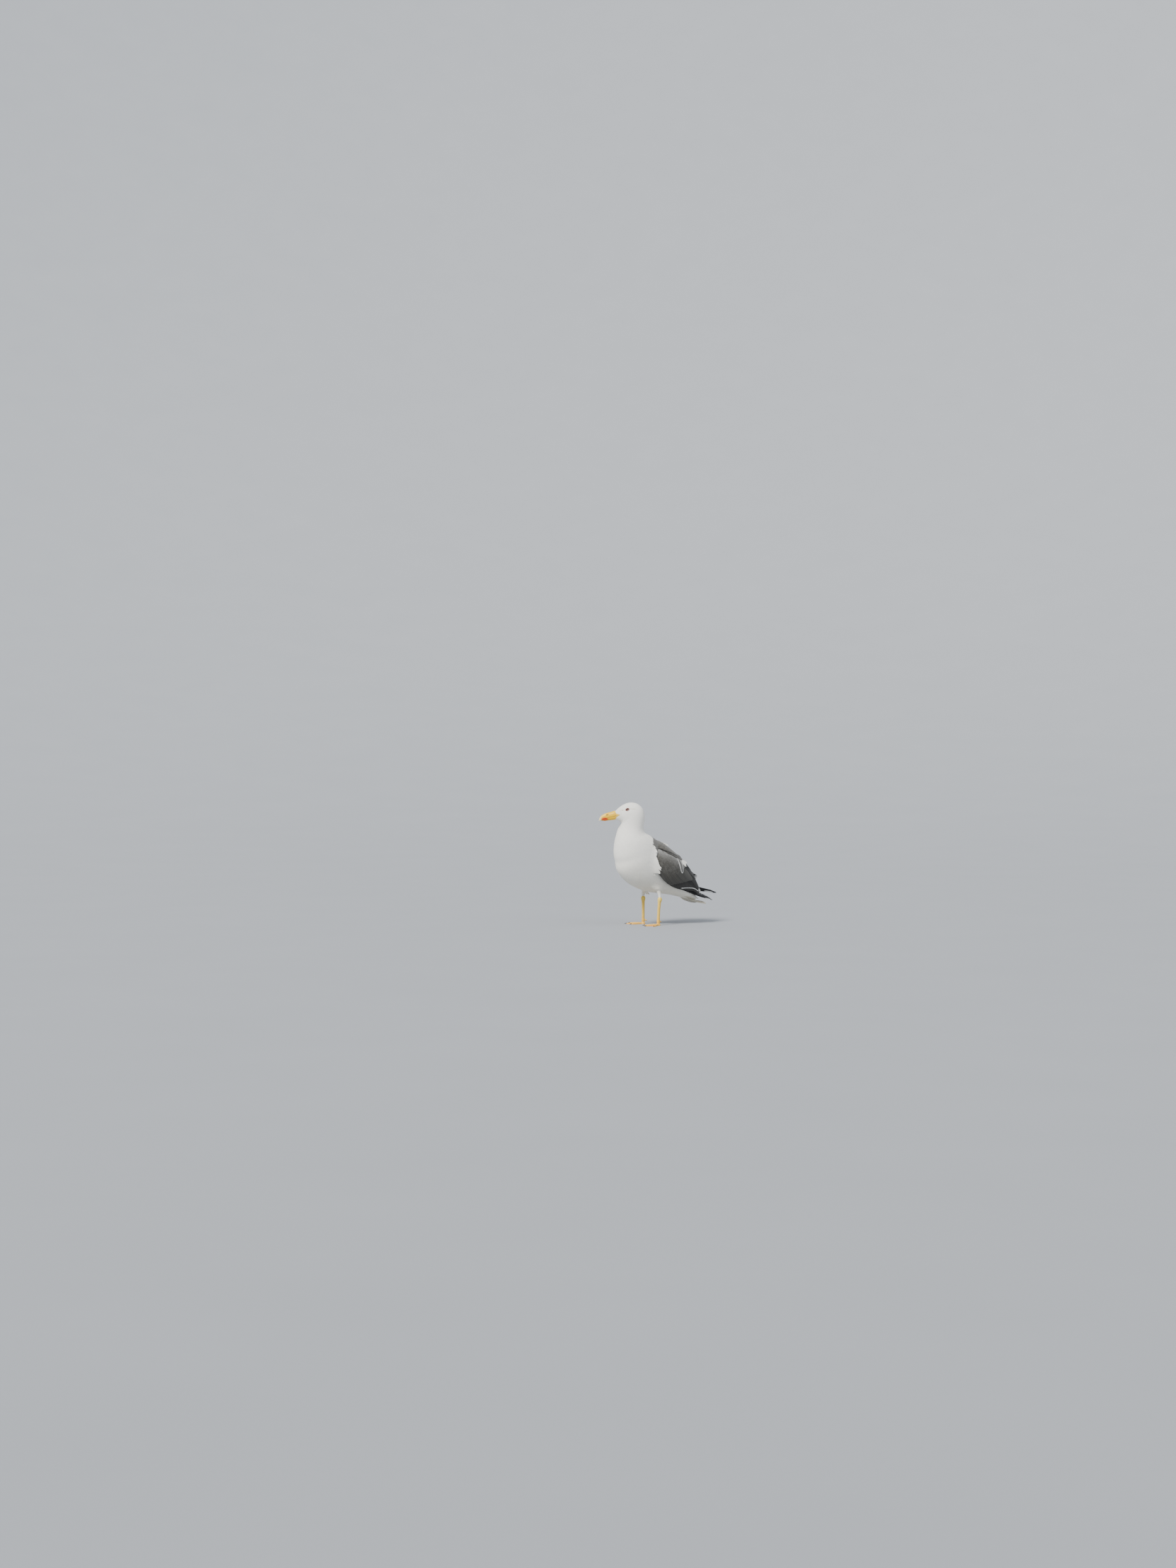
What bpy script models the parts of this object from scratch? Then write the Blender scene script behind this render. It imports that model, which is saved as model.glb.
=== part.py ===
"""A yellow-legged gull standing at rest, life size, as a still museum model.

The bird faces -Y, its left side is +X and +Z is up. The head looks to the bird's right. Every solid
reaches out to the tips of the feathers. The sizes below are in mm, in a frame whose origin is on the floor
between the legs. At the end all is moved, so that the origin is on the floor under the middle of the
whole bird's box.
"""

import math

import bmesh
import bpy
import numpy as np

MM = 0.001
GAP = 0.3  # clear space between neighbouring solids, in mm
SLIT = 0.015  # the same space, as a share of the distance between two sections of the body
RING = 24  # points round a section of the body
WING_RING = 16
LEG_RING = 10
BILL_RING = 12

# Driving sizes of the bird, in mm and degrees.
NECK_AXIS_Y = -64.0  # the upright line that the head turns about
HEAD_TURN = -30.0  # towards the bird's right
MOUTH = 0.3  # between the two halves of the bill
EYE_RADIUS = 7.0
EYE_PLACE = (15.0, 340.8, 19.8)  # forward of the neck axis, above the floor, to the side
STANCE = 75.0  # between the two legs
STRIDE = {"left": -4.0, "right": -2.0}  # how far forward each ankle is, for the weight to be over the feet
LEG_LEAN = {"left": 1.0, "right": 0.0}  # how much of the hock's set-back each leg has
TOE_SPREAD = 31.0  # between one front toe and the next
TOE_LENGTHS = (41.0, 50.0, 47.0)  # inner, middle and outer toe without their claws
TOE_HALF_WIDTH = 2.6
TOE_HEIGHT = 5.0
HEEL_RADIUS = 6.5
HEEL_HEIGHT = 8.7
WEB_THICKNESS = 1.6
WEB_DIP = 0.26  # how far the web's edge falls back between two toes, as a share of their length
CLAW_LENGTH = 7.0
CLAW_HALF_WIDTH = 1.35
FOOT_TURN = {"left": 8.0, "right": -35.0}  # 0 points straight forward, plus is to the bird's left

# Sections of the body from the base of the bill to the root of the tail, before the head is turned.
# Each is a point on the upper line (y, z), one on the lower line (y, z), half the width, and how much
# fuller the section is low down.
BODY = (
    ((-113, 339), (-110.5, 312.5), 9.5, 0.0),
    ((-105, 346.5), (-105, 309.5), 15.5, 0.0),
    ((-94, 354.5), (-99.5, 306), 21.0, 0.05),
    ((-80, 361), (-96.5, 303.5), 25.0, 0.08),
    ((-65, 363), (-96.5, 300.5), 27.5, 0.08),
    ((-48, 359), (-99.5, 296), 29.5, 0.05),
    ((-34, 347), (-103.5, 290.5), 31.0, 0.0),
    ((-26.5, 329), (-107, 283.5), 32.5, 0.0),
    ((-26.5, 308), (-110.5, 275), 34.5, 0.0),
    ((-30, 289), (-113.5, 265), 38.0, 0.0),
    ((-26, 276), (-117, 252), 43.0, 0.0),
    ((-8, 266), (-120, 235), 49.5, 0.0),
    ((15, 253), (-121, 211), 54.5, 0.0),
    ((38, 240), (-117, 182), 57.0, 0.03),
    ((60, 226), (-104, 152.5), 57.0, 0.06),
    ((80, 210), (-77, 126), 54.5, 0.08),
    ((98, 191), (-42, 108), 49.5, 0.1),
    ((115, 169), (-6, 97), 43.5, 0.12),
    ((129, 147), (34, 91), 36.0, 0.12),
    ((141, 121), (76, 85), 28.0, 0.1),
    ((151, 100), (112, 77), 20.5, 0.05),
    ((158, 90), (136, 72), 13.0, 0.0),
)
HEAD_ENDS = 7  # the section where the head meets the neck
NECK_ENDS = 10.5
TURN_STARTS = 11.5  # behind this section nothing is turned
TURN_FULL = 5.0

# The two halves of the bill, along their length forward of the neck axis: height of the outer line,
# height of the cutting edge, and half the width.
UPPER_BILL = (
    (35, 331.0, 327.0, 4.6),
    (43, 336.0, 325.6, 7.4),
    (51, 338.3, 323.8, 9.0),
    (61, 335.2, 321.2, 8.2),
    (72, 332.4, 318.5, 6.9),
    (82, 329.0, 315.2, 5.6),
    (90, 324.0, 312.3, 4.2),
    (95.5, 317.5, 310.3, 2.6),
    (98, 310.8, 308.6, 0.9),
)
LOWER_BILL = (
    (37, 320.5, 326.4, 4.4),
    (45, 314.0, 325.0, 7.2),
    (53, 312.0, 323.1, 8.2),
    (63, 310.9, 320.6, 7.2),
    (73, 309.7, 318.0, 6.0),
    (80, 308.8, 315.7, 5.0),
    (87, 309.4, 313.2, 3.7),
    (92.5, 309.9, 311.2, 1.8),
)

# The left folded wing, from the wrist to the tips of the tertials: upper edge, lower edge, how far the
# outer face bulges, and the thickness.
WING = (
    ((37, -15, 234), (55, -21, 184), 6, 5),
    ((31, -2, 245), (57.5, -9, 155), 14, 10),
    ((21, 19, 246), (55.5, 14, 132), 23, 14),
    ((14, 47, 232), (50, 45, 114), 28, 15),
    ((10, 78, 212), (43, 80, 104), 26, 14),
    ((8, 106, 192), (37, 110, 100.5), 20, 12),
    ((8, 134, 163), (32, 136, 98.5), 12, 9),
    ((11, 157, 125), (28, 156, 94), 5, 6),
    ((16, 172, 96), (24, 171.5, 88), 0.5, 3),
)
COVERTS_END = 5  # the section where the tertials begin

# The left wing's folded primaries, from under the tertials to the wing tip.
PRIMARIES = (
    ((25, 96, 117), (32, 99, 98), 2, 5),
    ((18, 128, 108), (29, 132, 87), 2, 5.5),
    ((8, 166, 94), (21, 171, 76), 1.5, 5.5),
    ((1, 206, 81), (10, 207, 69), 1, 4.5),
    ((-4, 233, 68), (0, 233, 65), 0, 2),
)
# How many degrees a wing is raised about the shoulder: at the wrist, at the tertial tips, the primaries.
LIFT = {"left": (0, 0, 0), "right": (2, 14, 5)}
SHOULDER = (0, -10, 200)
EDGE_FULLNESS = 0.6  # the power that shapes a wing's section: 1 is an oval, lower has blunter edges

# The tail: a point on its centre line (y, z of the underside), half the width and the thickness.
TAIL = (
    ((108, 87), 18, 8),
    ((132, 73.5), 21, 7),
    ((155, 66.5), 24.5, 5),
    ((173, 63.5), 27.5, 4),
    ((189, 61.5), 28.5, 3),
)
TAIL_ARCH = 5.5  # the edges hang this much lower than the middle

# A leg from the belly to the foot: height, how far back and how far inward it is, and half its width to
# the side and fore and aft.
THIGH = (
    (126, -6, 13, 10, 14),
    (112, -2, 9, 12.5, 16),
    (101, 2, 5, 9, 11.5),
    (92, 4.6, 1.6, 5.4, 6.6),
    (84, 5.4, 0, 3.8, 4.2),
)
SHANK = (
    (83.7, 5.4, 0, 3.2, 3.6),
    (80.5, 5.5, 0, 5.2, 5.8),
    (76.5, 5.6, 0, 6.3, 7.0),
    (71.5, 4.8, 0, 5.6, 6.2),
    (66, 3.8, 0, 4.3, 5.0),
    (45, 1.8, 0, 3.8, 4.6),
    (20, 0.4, 0, 3.9, 4.6),
    (12, 0.0, 0, 4.8, 5.0),
    (9.3, 0.0, 0, 4.6, 4.8),
)
HIND_TOE = ((5.4, 12.0, 2.0), (8.0, 11.4, 1.8), (10.5, 9.6, 1.3), (11.6, 7.0, 0.6))  # back, up, half width

COLOURS = {
    "white_plumage": (0.86, 0.86, 0.83, 0.7),
    "grey_plumage": (0.17, 0.175, 0.18, 0.65),
    "black_plumage": (0.012, 0.012, 0.014, 0.5),
    "bill": (0.85, 0.55, 0.07, 0.35),
    "eye": (0.03, 0.02, 0.015, 0.05),
    "leg_skin": (0.83, 0.55, 0.16, 0.5),
    "claw": (0.03, 0.025, 0.02, 0.4),
}


def clear_scene():
    for obj in list(bpy.data.objects):
        bpy.data.objects.remove(obj)


def material(name):
    """A Principled material with the colour and roughness that COLOURS gives."""
    made = bpy.data.materials.get(name)
    if made is None:
        made = bpy.data.materials.new(name)
        made.use_nodes = True
        shader = made.node_tree.nodes["Principled BSDF"]
        red, green, blue, roughness = COLOURS[name]
        shader.inputs["Base Color"].default_value = (red, green, blue, 1)
        shader.inputs["Roughness"].default_value = roughness
        shader.inputs["Metallic"].default_value = 0
    return made


def collection(name, hidden=False):
    made = bpy.data.collections.new(name)
    bpy.context.scene.collection.children.link(made)
    made.hide_render = hidden
    return made


def new_object(name, mesh, look, home):
    obj = bpy.data.objects.new(name, mesh)
    mesh.materials.append(material(look))
    home.objects.link(obj)
    return obj


def spline(rows, at):
    """Catmull-Rom values of the table rows at the fractional row numbers in at."""
    rows = np.asarray(rows, float)
    last = len(rows) - 1
    padded = np.vstack([2 * rows[0] - rows[1], rows, 2 * rows[-1] - rows[-2]])
    at = np.clip(np.asarray(at, float), 0, last)
    i = np.minimum(at.astype(int), last - 1)
    t = (at - i)[:, None]
    a, b, c, d = (padded[i + k] for k in range(4))
    return 0.5 * (2 * b + (c - a) * t + (2 * a - 5 * b + 4 * c - d) * t**2 + (3 * b - a - 3 * c + d) * t**3)


def smooth_step(value, start, end):
    """0 up to start, 1 from end on, and a soft S between them."""
    t = np.clip((value - start) / (end - start), 0, 1)
    return t * t * (3 - 2 * t)


def loft(name, rings, look, home):
    """A closed solid through rings of points in mm: side faces between the rings, and a face on each end."""
    rings = np.asarray(rings, float) * MM
    count, around = rings.shape[:2]
    bm = bmesh.new()
    verts = [[bm.verts.new(p) for p in ring] for ring in rings]
    for lower, upper in zip(verts, verts[1:]):
        for k in range(around):
            bm.faces.new((lower[k], lower[k - 1], upper[k - 1], upper[k]))
    bm.faces.new(verts[0])
    bm.faces.new(verts[-1])
    bmesh.ops.recalc_face_normals(bm, faces=bm.faces)
    bmesh.ops.triangulate(bm, faces=bm.faces, quad_method="FIXED")
    mesh = bpy.data.meshes.new(name)
    bm.to_mesh(mesh)
    bm.free()
    mesh.shade_smooth()
    mesh.set_sharp_from_angle(angle=math.radians(40))
    return new_object(name, mesh, look, home)


def cut(obj, cutter):
    """A live Boolean that takes the cutter out of obj."""
    modifier = obj.modifiers.new(cutter.name, "BOOLEAN")
    modifier.operation = "DIFFERENCE"
    modifier.object = cutter
    modifier.solver = "EXACT"


def clearance(obj, home):
    """A cutter that is the object's own shape, GAP larger all round."""
    cutter = obj.copy()
    cutter.name = obj.name + "_clearance"
    home.objects.link(cutter)
    grow = cutter.modifiers.new("grow", "DISPLACE")
    grow.strength = GAP * MM
    grow.mid_level = 0
    cutter.hide_render = True
    cutter.display_type = "WIRE"
    return cutter


def turned(points, amount):
    """Points turned about the upright neck axis by amount (one share of HEAD_TURN for each ring)."""
    angle = np.radians(HEAD_TURN * np.asarray(amount))[:, None]
    x = points[..., 0]
    y = points[..., 1] - NECK_AXIS_Y
    turned_x = x * np.cos(angle) - y * np.sin(angle)
    turned_y = x * np.sin(angle) + y * np.cos(angle) + NECK_AXIS_Y
    return np.stack([turned_x, turned_y, points[..., 2]], axis=-1)


def body_rings(start, end, count):
    """Rings of the body between two places in the BODY table, with the head's turn in them."""
    at = np.linspace(start, end, count)
    table = [(*upper, *lower, width, low) for upper, lower, width, low in BODY]
    y1, z1, y0, z0, width, low = spline(table, at).T[..., None]
    angle = 2 * np.pi * np.arange(RING) / RING
    along, across = np.cos(angle), np.sin(angle)
    y = (y1 + y0) / 2 + (y1 - y0) / 2 * along
    z = (z1 + z0) / 2 + (z1 - z0) / 2 * along
    x = width * across * (1 - low * along)
    amount = 1 - smooth_step(at, TURN_FULL, TURN_STARTS)
    return turned(np.stack([x, y, z], axis=-1), amount)


def head_point(forward, up, side=0.0):
    """A place on the turned head: forward of the neck axis, above the floor, and to the bird's left."""
    place = np.array([[[side, NECK_AXIS_Y - forward, up]]])
    return turned(place, [1.0])[0, 0]


def blade_rings(table, start, end, count):
    """Rings of a folded wing: a flat oval from the upper edge to the lower, bent outwards by the bulge."""
    at = np.linspace(start, end, count)
    values = spline([(*up, *low, bulge, thick) for up, low, bulge, thick in table], at)
    upper, lower = values[:, 0:3], values[:, 3:6]
    bulge, thick = values[:, 6:7], values[:, 7:8]
    height = np.linalg.norm(upper - lower, axis=1, keepdims=True)
    down = (lower - upper) / height
    middle = (upper + lower) / 2
    run = np.gradient(middle, axis=0)
    out = np.cross(run, -down)
    out /= np.linalg.norm(out, axis=1, keepdims=True)
    out *= np.sign(out[:, :1])
    angle = 2 * np.pi * np.arange(WING_RING) / WING_RING
    place = np.cos(angle)  # 1 on the upper edge, -1 on the lower
    skin = np.sign(np.sin(angle)) * np.abs(np.sin(angle)) ** EDGE_FULLNESS
    offset = bulge * (1 - place**2) + thick / 2 * skin
    reach = height / 2 * place
    return middle[:, None] - down[:, None] * reach[..., None] + out[:, None] * offset[..., None]


def lifted(rings, degrees, side):
    """Rings raised about the shoulder, each by its own angle, and mirrored for the right wing."""
    angle = np.radians(degrees)[:, None]
    x, y, z = np.moveaxis(rings - np.array(SHOULDER), -1, 0)
    x = x if side == "left" else -x
    raised_y = y * np.cos(angle) - z * np.sin(angle)
    raised_z = y * np.sin(angle) + z * np.cos(angle)
    return np.stack([x, raised_y, raised_z], axis=-1) + np.array(SHOULDER)


def wing_solid(side, piece, home):
    """One of the three solids of a folded wing."""
    table, start, end, count, look = {
        "coverts": (WING, 0, COVERTS_END, 13, "grey_plumage"),
        "tertials": (WING, COVERTS_END + SLIT, len(WING) - 1, 8, "grey_plumage"),
        "primaries": (PRIMARIES, 0, len(PRIMARIES) - 1, 10, "black_plumage"),
    }[piece]
    at_wrist, at_tip, primaries = LIFT[side]
    share = np.linspace(start, end, count) / (len(WING) - 1)
    degrees = at_wrist + (at_tip - at_wrist) * share**3
    if piece == "primaries":
        degrees = np.full(count, primaries)
    rings = lifted(blade_rings(table, start, end, count), degrees, side)
    return loft(f"{side}_wing_{piece}", rings, look, home)


def tail_solid(home):
    """The closed tail: an arched plate that widens to its tip."""
    at = np.linspace(0, len(TAIL) - 1, 8)
    y, z, width, thick = spline([(*place, w, t) for place, w, t in TAIL], at).T[..., None]
    angle = 2 * np.pi * np.arange(WING_RING) / WING_RING
    across = np.cos(angle)
    skin = np.sign(np.sin(angle)) * np.abs(np.sin(angle)) ** EDGE_FULLNESS
    x = width * across
    rise = thick / 2 * (1 + skin) - TAIL_ARCH * across**2
    rings = np.stack([x, y + 0 * x, z + rise], axis=-1)
    return loft("tail", rings, "white_plumage", home)


def bill_solid(half, home):
    """One half of the bill: an arch in section, flat where the two halves meet."""
    table, sign = (UPPER_BILL, 1) if half == "upper" else (LOWER_BILL, -1)
    at = np.linspace(0, len(table) - 1, 13)
    forward, outer, edge, width = spline(table, at).T[..., None]
    angle = np.pi * np.arange(BILL_RING) / (BILL_RING - 1)
    z = edge + sign * (np.abs(outer - edge) * np.sin(angle) ** 0.8 + MOUTH / 2)
    x = width * np.cos(angle)
    y = NECK_AXIS_Y - forward + 0 * x
    rings = turned(np.stack([x, y, z], axis=-1), np.ones(len(at)))
    return loft(f"bill_{half}", rings, "bill", home)


def eye_solid(side, home):
    """The eyeball, most of it inside the head."""
    forward, up, out = EYE_PLACE
    bm = bmesh.new()
    bmesh.ops.create_uvsphere(bm, u_segments=14, v_segments=9, radius=EYE_RADIUS * MM)
    mesh = bpy.data.meshes.new(f"{side}_eye")
    bm.to_mesh(mesh)
    bm.free()
    mesh.shade_smooth()
    eye = new_object(f"{side}_eye", mesh, "eye", home)
    eye.location = head_point(forward, up, out if side == "left" else -out) * MM
    return eye


def leg_place(side):
    """Where the ankle stands over the floor, in mm."""
    return np.array([STANCE / 2 * (1 if side == "left" else -1), -STRIDE[side], 0.0])


def leg_solid(side, piece, home):
    """The feathered thigh or the bare shank, as a loft of level ovals."""
    table, look = (THIGH, "white_plumage") if piece == "thigh" else (SHANK, "leg_skin")
    at = np.linspace(0, len(table) - 1, 2 * len(table) - 1)
    height, back, inward, wide, long = spline(table, at).T[..., None]
    back = back * LEG_LEAN[side]
    inward = inward if side == "left" else -inward
    angle = 2 * np.pi * np.arange(LEG_RING) / LEG_RING
    x = wide * np.cos(angle) - inward
    y = back + long * np.sin(angle)
    rings = np.stack([x, y, height + 0 * x], axis=-1) + leg_place(side)
    return loft(f"{side}_{piece}", rings, look, home)


def toe_direction(side, toe):
    """Unit vector and angle of a front toe: 0 is the inner toe, 1 the middle and 2 the outer one."""
    outward = 1 if side == "left" else -1
    angle = math.radians(FOOT_TURN[side] + outward * (toe - 1) * TOE_SPREAD)
    return np.array([math.sin(angle), -math.cos(angle), 0.0]), angle


def foot_reach(angle, toes):
    """How far the foot's edge is from the ankle at each angle: toes with straight sides, and a web that
    dips between them."""
    reach = np.full(angle.shape, HEEL_RADIUS)
    for direction, length in toes:
        away = np.abs((angle - direction + np.pi) % (2 * np.pi) - np.pi)
        side = TOE_HALF_WIDTH / np.sin(np.clip(away, 1e-6, np.pi / 2))
        reach = np.maximum(reach, np.where(away < np.pi / 2, np.minimum(length, side), 0))
    for (first, near), (second, far) in zip(toes, toes[1:]):
        share = (angle - first) / (second - first)
        inside = (share > 0) & (share < 1)
        edge = (near + (far - near) * share) * (0.97 - WEB_DIP * np.sin(np.pi * share))
        reach = np.where(inside, np.maximum(reach, edge), reach)
    return reach


def foot_height(angle, radius, toes):
    """How high the foot stands: a thin web, a rounded ridge along each toe and a boss at the ankle."""
    top = np.full(radius.shape, WEB_THICKNESS)
    for direction, length in toes:
        away = radius * np.sin(angle - direction) / (1.15 * TOE_HALF_WIDTH)
        height = TOE_HEIGHT * (1 - 0.45 * np.clip(radius / length, 0, 1) ** 2)
        ridge = height * np.sqrt(np.clip(1 - away**2, 0, 1))
        top = np.maximum(top, np.where(np.cos(angle - direction) > 0, ridge, 0))
    slope = (radius - 0.68 * HEEL_RADIUS) / (1.15 * HEEL_RADIUS)
    return np.maximum(top, HEEL_HEIGHT * np.clip(1 - slope**2, 0, 1))


def foot_solid(side, home):
    """The webbed foot: a fan of points round the ankle, over a flat sole on the floor."""
    toes = sorted((toe_direction(side, toe)[1], TOE_LENGTHS[toe]) for toe in range(3))
    beside_a_toe = np.radians([-12, -6, -2.9, 0, 2.9, 6, 12])
    behind = np.radians([25, 50, 85, 120])
    rays = [direction + beside_a_toe for direction, _ in toes]
    rays += [[(toes[0][0] + toes[1][0]) / 2, (toes[1][0] + toes[2][0]) / 2]]
    rays += [toes[0][0] - behind, toes[2][0] + behind]
    angle = np.sort(np.concatenate(rays))
    edge = foot_reach(angle, toes)
    share = np.array([0.3, 0.5, 0.68, 0.84, 0.95, 1.0])[:, None]
    radius = np.maximum(share * edge, HEEL_RADIUS * (0.72 + 0.28 * share))
    top = foot_height(angle, radius, toes)
    upper = np.stack([radius * np.sin(angle), -radius * np.cos(angle), top], axis=-1)
    rim = upper[-1:] * (1, 1, 0)
    return loft(f"{side}_foot", np.concatenate([upper, rim]) + leg_place(side), "leg_skin", home)


def claw_solid(side, toe, home):
    """A short claw that curves down from the tip of a front toe to just above the floor."""
    along, _ = toe_direction(side, toe)
    across = np.array([-along[1], along[0], 0.0])
    share = np.linspace(0, 1, 5)[:, None]
    angle = 2 * np.pi * np.arange(8) / 8
    run = TOE_LENGTHS[toe] + GAP + CLAW_LENGTH * share
    size = CLAW_HALF_WIDTH * (1 - 0.8 * share)
    height = 0.6 + 1.6 * (1 - share**1.5) + size * np.sin(angle)
    rings = run[..., None] * along + (size * np.cos(angle))[..., None] * across
    rings = rings + height[..., None] * np.array([0, 0, 1.0]) + leg_place(side)
    return loft(f"{side}_claw_{('inner', 'middle', 'outer')[toe]}", rings, "claw", home)


def hind_toe_solid(side, home):
    """The small raised toe behind the ankle."""
    facing, _ = toe_direction(side, 1)
    across = np.array([-facing[1], facing[0], 0.0])
    back, up, size = spline(HIND_TOE, np.linspace(0, len(HIND_TOE) - 1, 7)).T[..., None, None]
    angle = (2 * np.pi * np.arange(8) / 8)[:, None]
    rings = -facing * back + across * size * np.cos(angle)
    rings = rings + np.array([0, 0, 1.0]) * (up + size * np.sin(angle)) + leg_place(side)
    return loft(f"{side}_hind_toe", rings, "leg_skin", home)


def centre(bird, others):
    """Moves everything so that the origin is on the floor under the middle of the bird's box."""
    corners = np.array([np.array(obj.bound_box) + np.array(obj.location) for obj in bird.objects])
    middle = (corners.min((0, 1)) + corners.max((0, 1))) / 2
    for obj in list(bird.objects) + list(others.objects):
        obj.location.x -= middle[0]
        obj.location.y -= middle[1]


def main():
    clear_scene()
    bird = collection("gull")
    cutters = collection("cutters", hidden=True)
    head = loft("head", body_rings(0, HEAD_ENDS - SLIT, 16), "white_plumage", bird)
    loft("neck", body_rings(HEAD_ENDS, NECK_ENDS - SLIT, 8), "white_plumage", bird)
    trunk = loft("trunk", body_rings(NECK_ENDS, len(BODY) - 1, 21), "white_plumage", bird)
    for half in ("upper", "lower"):
        cut(head, clearance(bill_solid(half, bird), cutters))
    cut(trunk, clearance(tail_solid(bird), cutters))
    for side in ("left", "right"):
        cut(head, clearance(eye_solid(side, bird), cutters))
        for piece in ("coverts", "tertials", "primaries"):
            cut(trunk, clearance(wing_solid(side, piece, bird), cutters))
        cut(trunk, clearance(leg_solid(side, "thigh", bird), cutters))
        leg_solid(side, "shank", bird)
        foot_solid(side, bird)
        hind_toe_solid(side, bird)
        for toe in range(3):
            claw_solid(side, toe, bird)
    centre(bird, cutters)


main()
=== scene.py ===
# %% [markdown]
# # A yellow-legged gull, life size
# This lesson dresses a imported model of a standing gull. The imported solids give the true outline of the
# bird, out to the tips of its feathers. Here they get a skin, a coat of solid feathers, a horny bill, wet
# eyes and scaly legs. Every shape is worked out with numpy in millimetres and placed in the frame once.

# %% Load the frame
import math

import bpy
import numpy as np
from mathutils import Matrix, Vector
from mathutils.kdtree import KDTree


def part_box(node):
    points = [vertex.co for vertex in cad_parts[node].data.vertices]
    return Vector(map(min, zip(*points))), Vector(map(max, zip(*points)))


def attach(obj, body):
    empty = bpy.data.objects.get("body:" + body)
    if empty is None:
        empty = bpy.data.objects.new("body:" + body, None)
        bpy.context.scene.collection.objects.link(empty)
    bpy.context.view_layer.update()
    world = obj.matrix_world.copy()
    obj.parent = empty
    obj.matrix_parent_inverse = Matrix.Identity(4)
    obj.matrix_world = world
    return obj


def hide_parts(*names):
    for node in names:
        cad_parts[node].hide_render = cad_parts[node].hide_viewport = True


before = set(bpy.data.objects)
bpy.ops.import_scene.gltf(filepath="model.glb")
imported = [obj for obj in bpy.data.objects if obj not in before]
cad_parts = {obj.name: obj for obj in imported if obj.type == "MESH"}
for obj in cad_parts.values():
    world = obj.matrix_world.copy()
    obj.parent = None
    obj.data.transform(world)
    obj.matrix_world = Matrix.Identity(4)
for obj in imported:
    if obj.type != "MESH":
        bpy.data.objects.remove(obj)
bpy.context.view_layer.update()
print("nodes in the frame:", len(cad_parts))

# %% [markdown]
# The tables below are in mm, in the bird's own frame: its origin is on the floor between the legs, the
# bird faces -Y and its left is +X. The tail lies on the bird's middle line and its tip is 189 mm behind
# the origin, so the box of the tail's node tells how far this frame is from the model's.

# %% The bird's own frame
MM = 0.001
TAIL_TIP = 189.0
tail_low, tail_high = (np.array(corner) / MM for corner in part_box("tail"))
SHIFT = np.array([(tail_low[0] + tail_high[0]) / 2, tail_high[1] - TAIL_TIP, 0.0])
rng = np.random.default_rng(7)
print("the bird's frame is shifted by", SHIFT.round(2), "mm")


def placed(points):
    """Points in mm in the bird's frame, as metres in the model's frame."""
    return (np.asarray(points) + SHIFT) * MM


# %% [markdown]
# ## Meshes from arrays
# A sculptor would model each part by hand. Arrays do it more evenly: a surface is a grid of points from a
# formula, and the faces join neighbours in the grid. Writing whole arrays into the mesh with foreach_set
# is fast enough for thousands of feathers.

# %% Mesh helpers
def lattice(u, v):
    """Every u with every v, as two arrays of rows and columns."""
    return np.meshgrid(u, v, indexing="ij")


def circle(count):
    """Angles evenly round a circle, without a second one at its end."""
    return np.linspace(0, 2 * np.pi, count, endpoint=False)


def grid_faces(rows, columns, wrap=False, flip=False):
    """Quads between neighbours of a grid of points; wrap joins the last column to the first."""
    i, j = lattice(np.arange(rows - 1), np.arange(columns if wrap else columns - 1))
    right = (j + 1) % columns
    quads = np.stack([i * columns + j, i * columns + right, (i + 1) * columns + right,
                      (i + 1) * columns + j], axis=-1).reshape(-1, 4)
    return quads[:, ::-1] if flip else quads


def loft(rings, ends=True):
    """Points and faces of a surface through rings of points, with flat ends, or else with its last ring
    joined to its first."""
    rows, columns = rings.shape[:2]
    quads = grid_faces(rows if ends else rows + 1, columns, wrap=True) % (rows * columns)
    caps = [np.array([np.arange(columns)[::-1], (rows - 1) * columns + np.arange(columns)])] if ends else []
    return rings.reshape(-1, 3), [quads, *caps]


def closed_loft(rings, ends=True):
    """A loft whose faces look outwards. The sign of its volume tells whether they do, and if they don't they
    are turned round."""
    points, faces = loft(rings, ends)
    a, b, c, d = (points[faces[0][:, k]] - points.mean(axis=0) for k in range(4))
    inside_out = np.sum(a * np.cross(b, c)) + np.sum(a * np.cross(c, d)) < 0
    return points, [group[:, ::-1] if inside_out else group for group in faces]


def joined(lofts):
    """Points and faces of several lofts in one mesh."""
    points, faces, start = [], [], 0
    for spots, groups in lofts:
        points.append(spots)
        faces += [group + start for group in groups]
        start += len(spots)
    return np.concatenate(points), faces


def linked(name, data):
    """A new object in the scene."""
    made = bpy.data.objects.new(name, data)
    bpy.context.scene.collection.objects.link(made)
    return made


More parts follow.
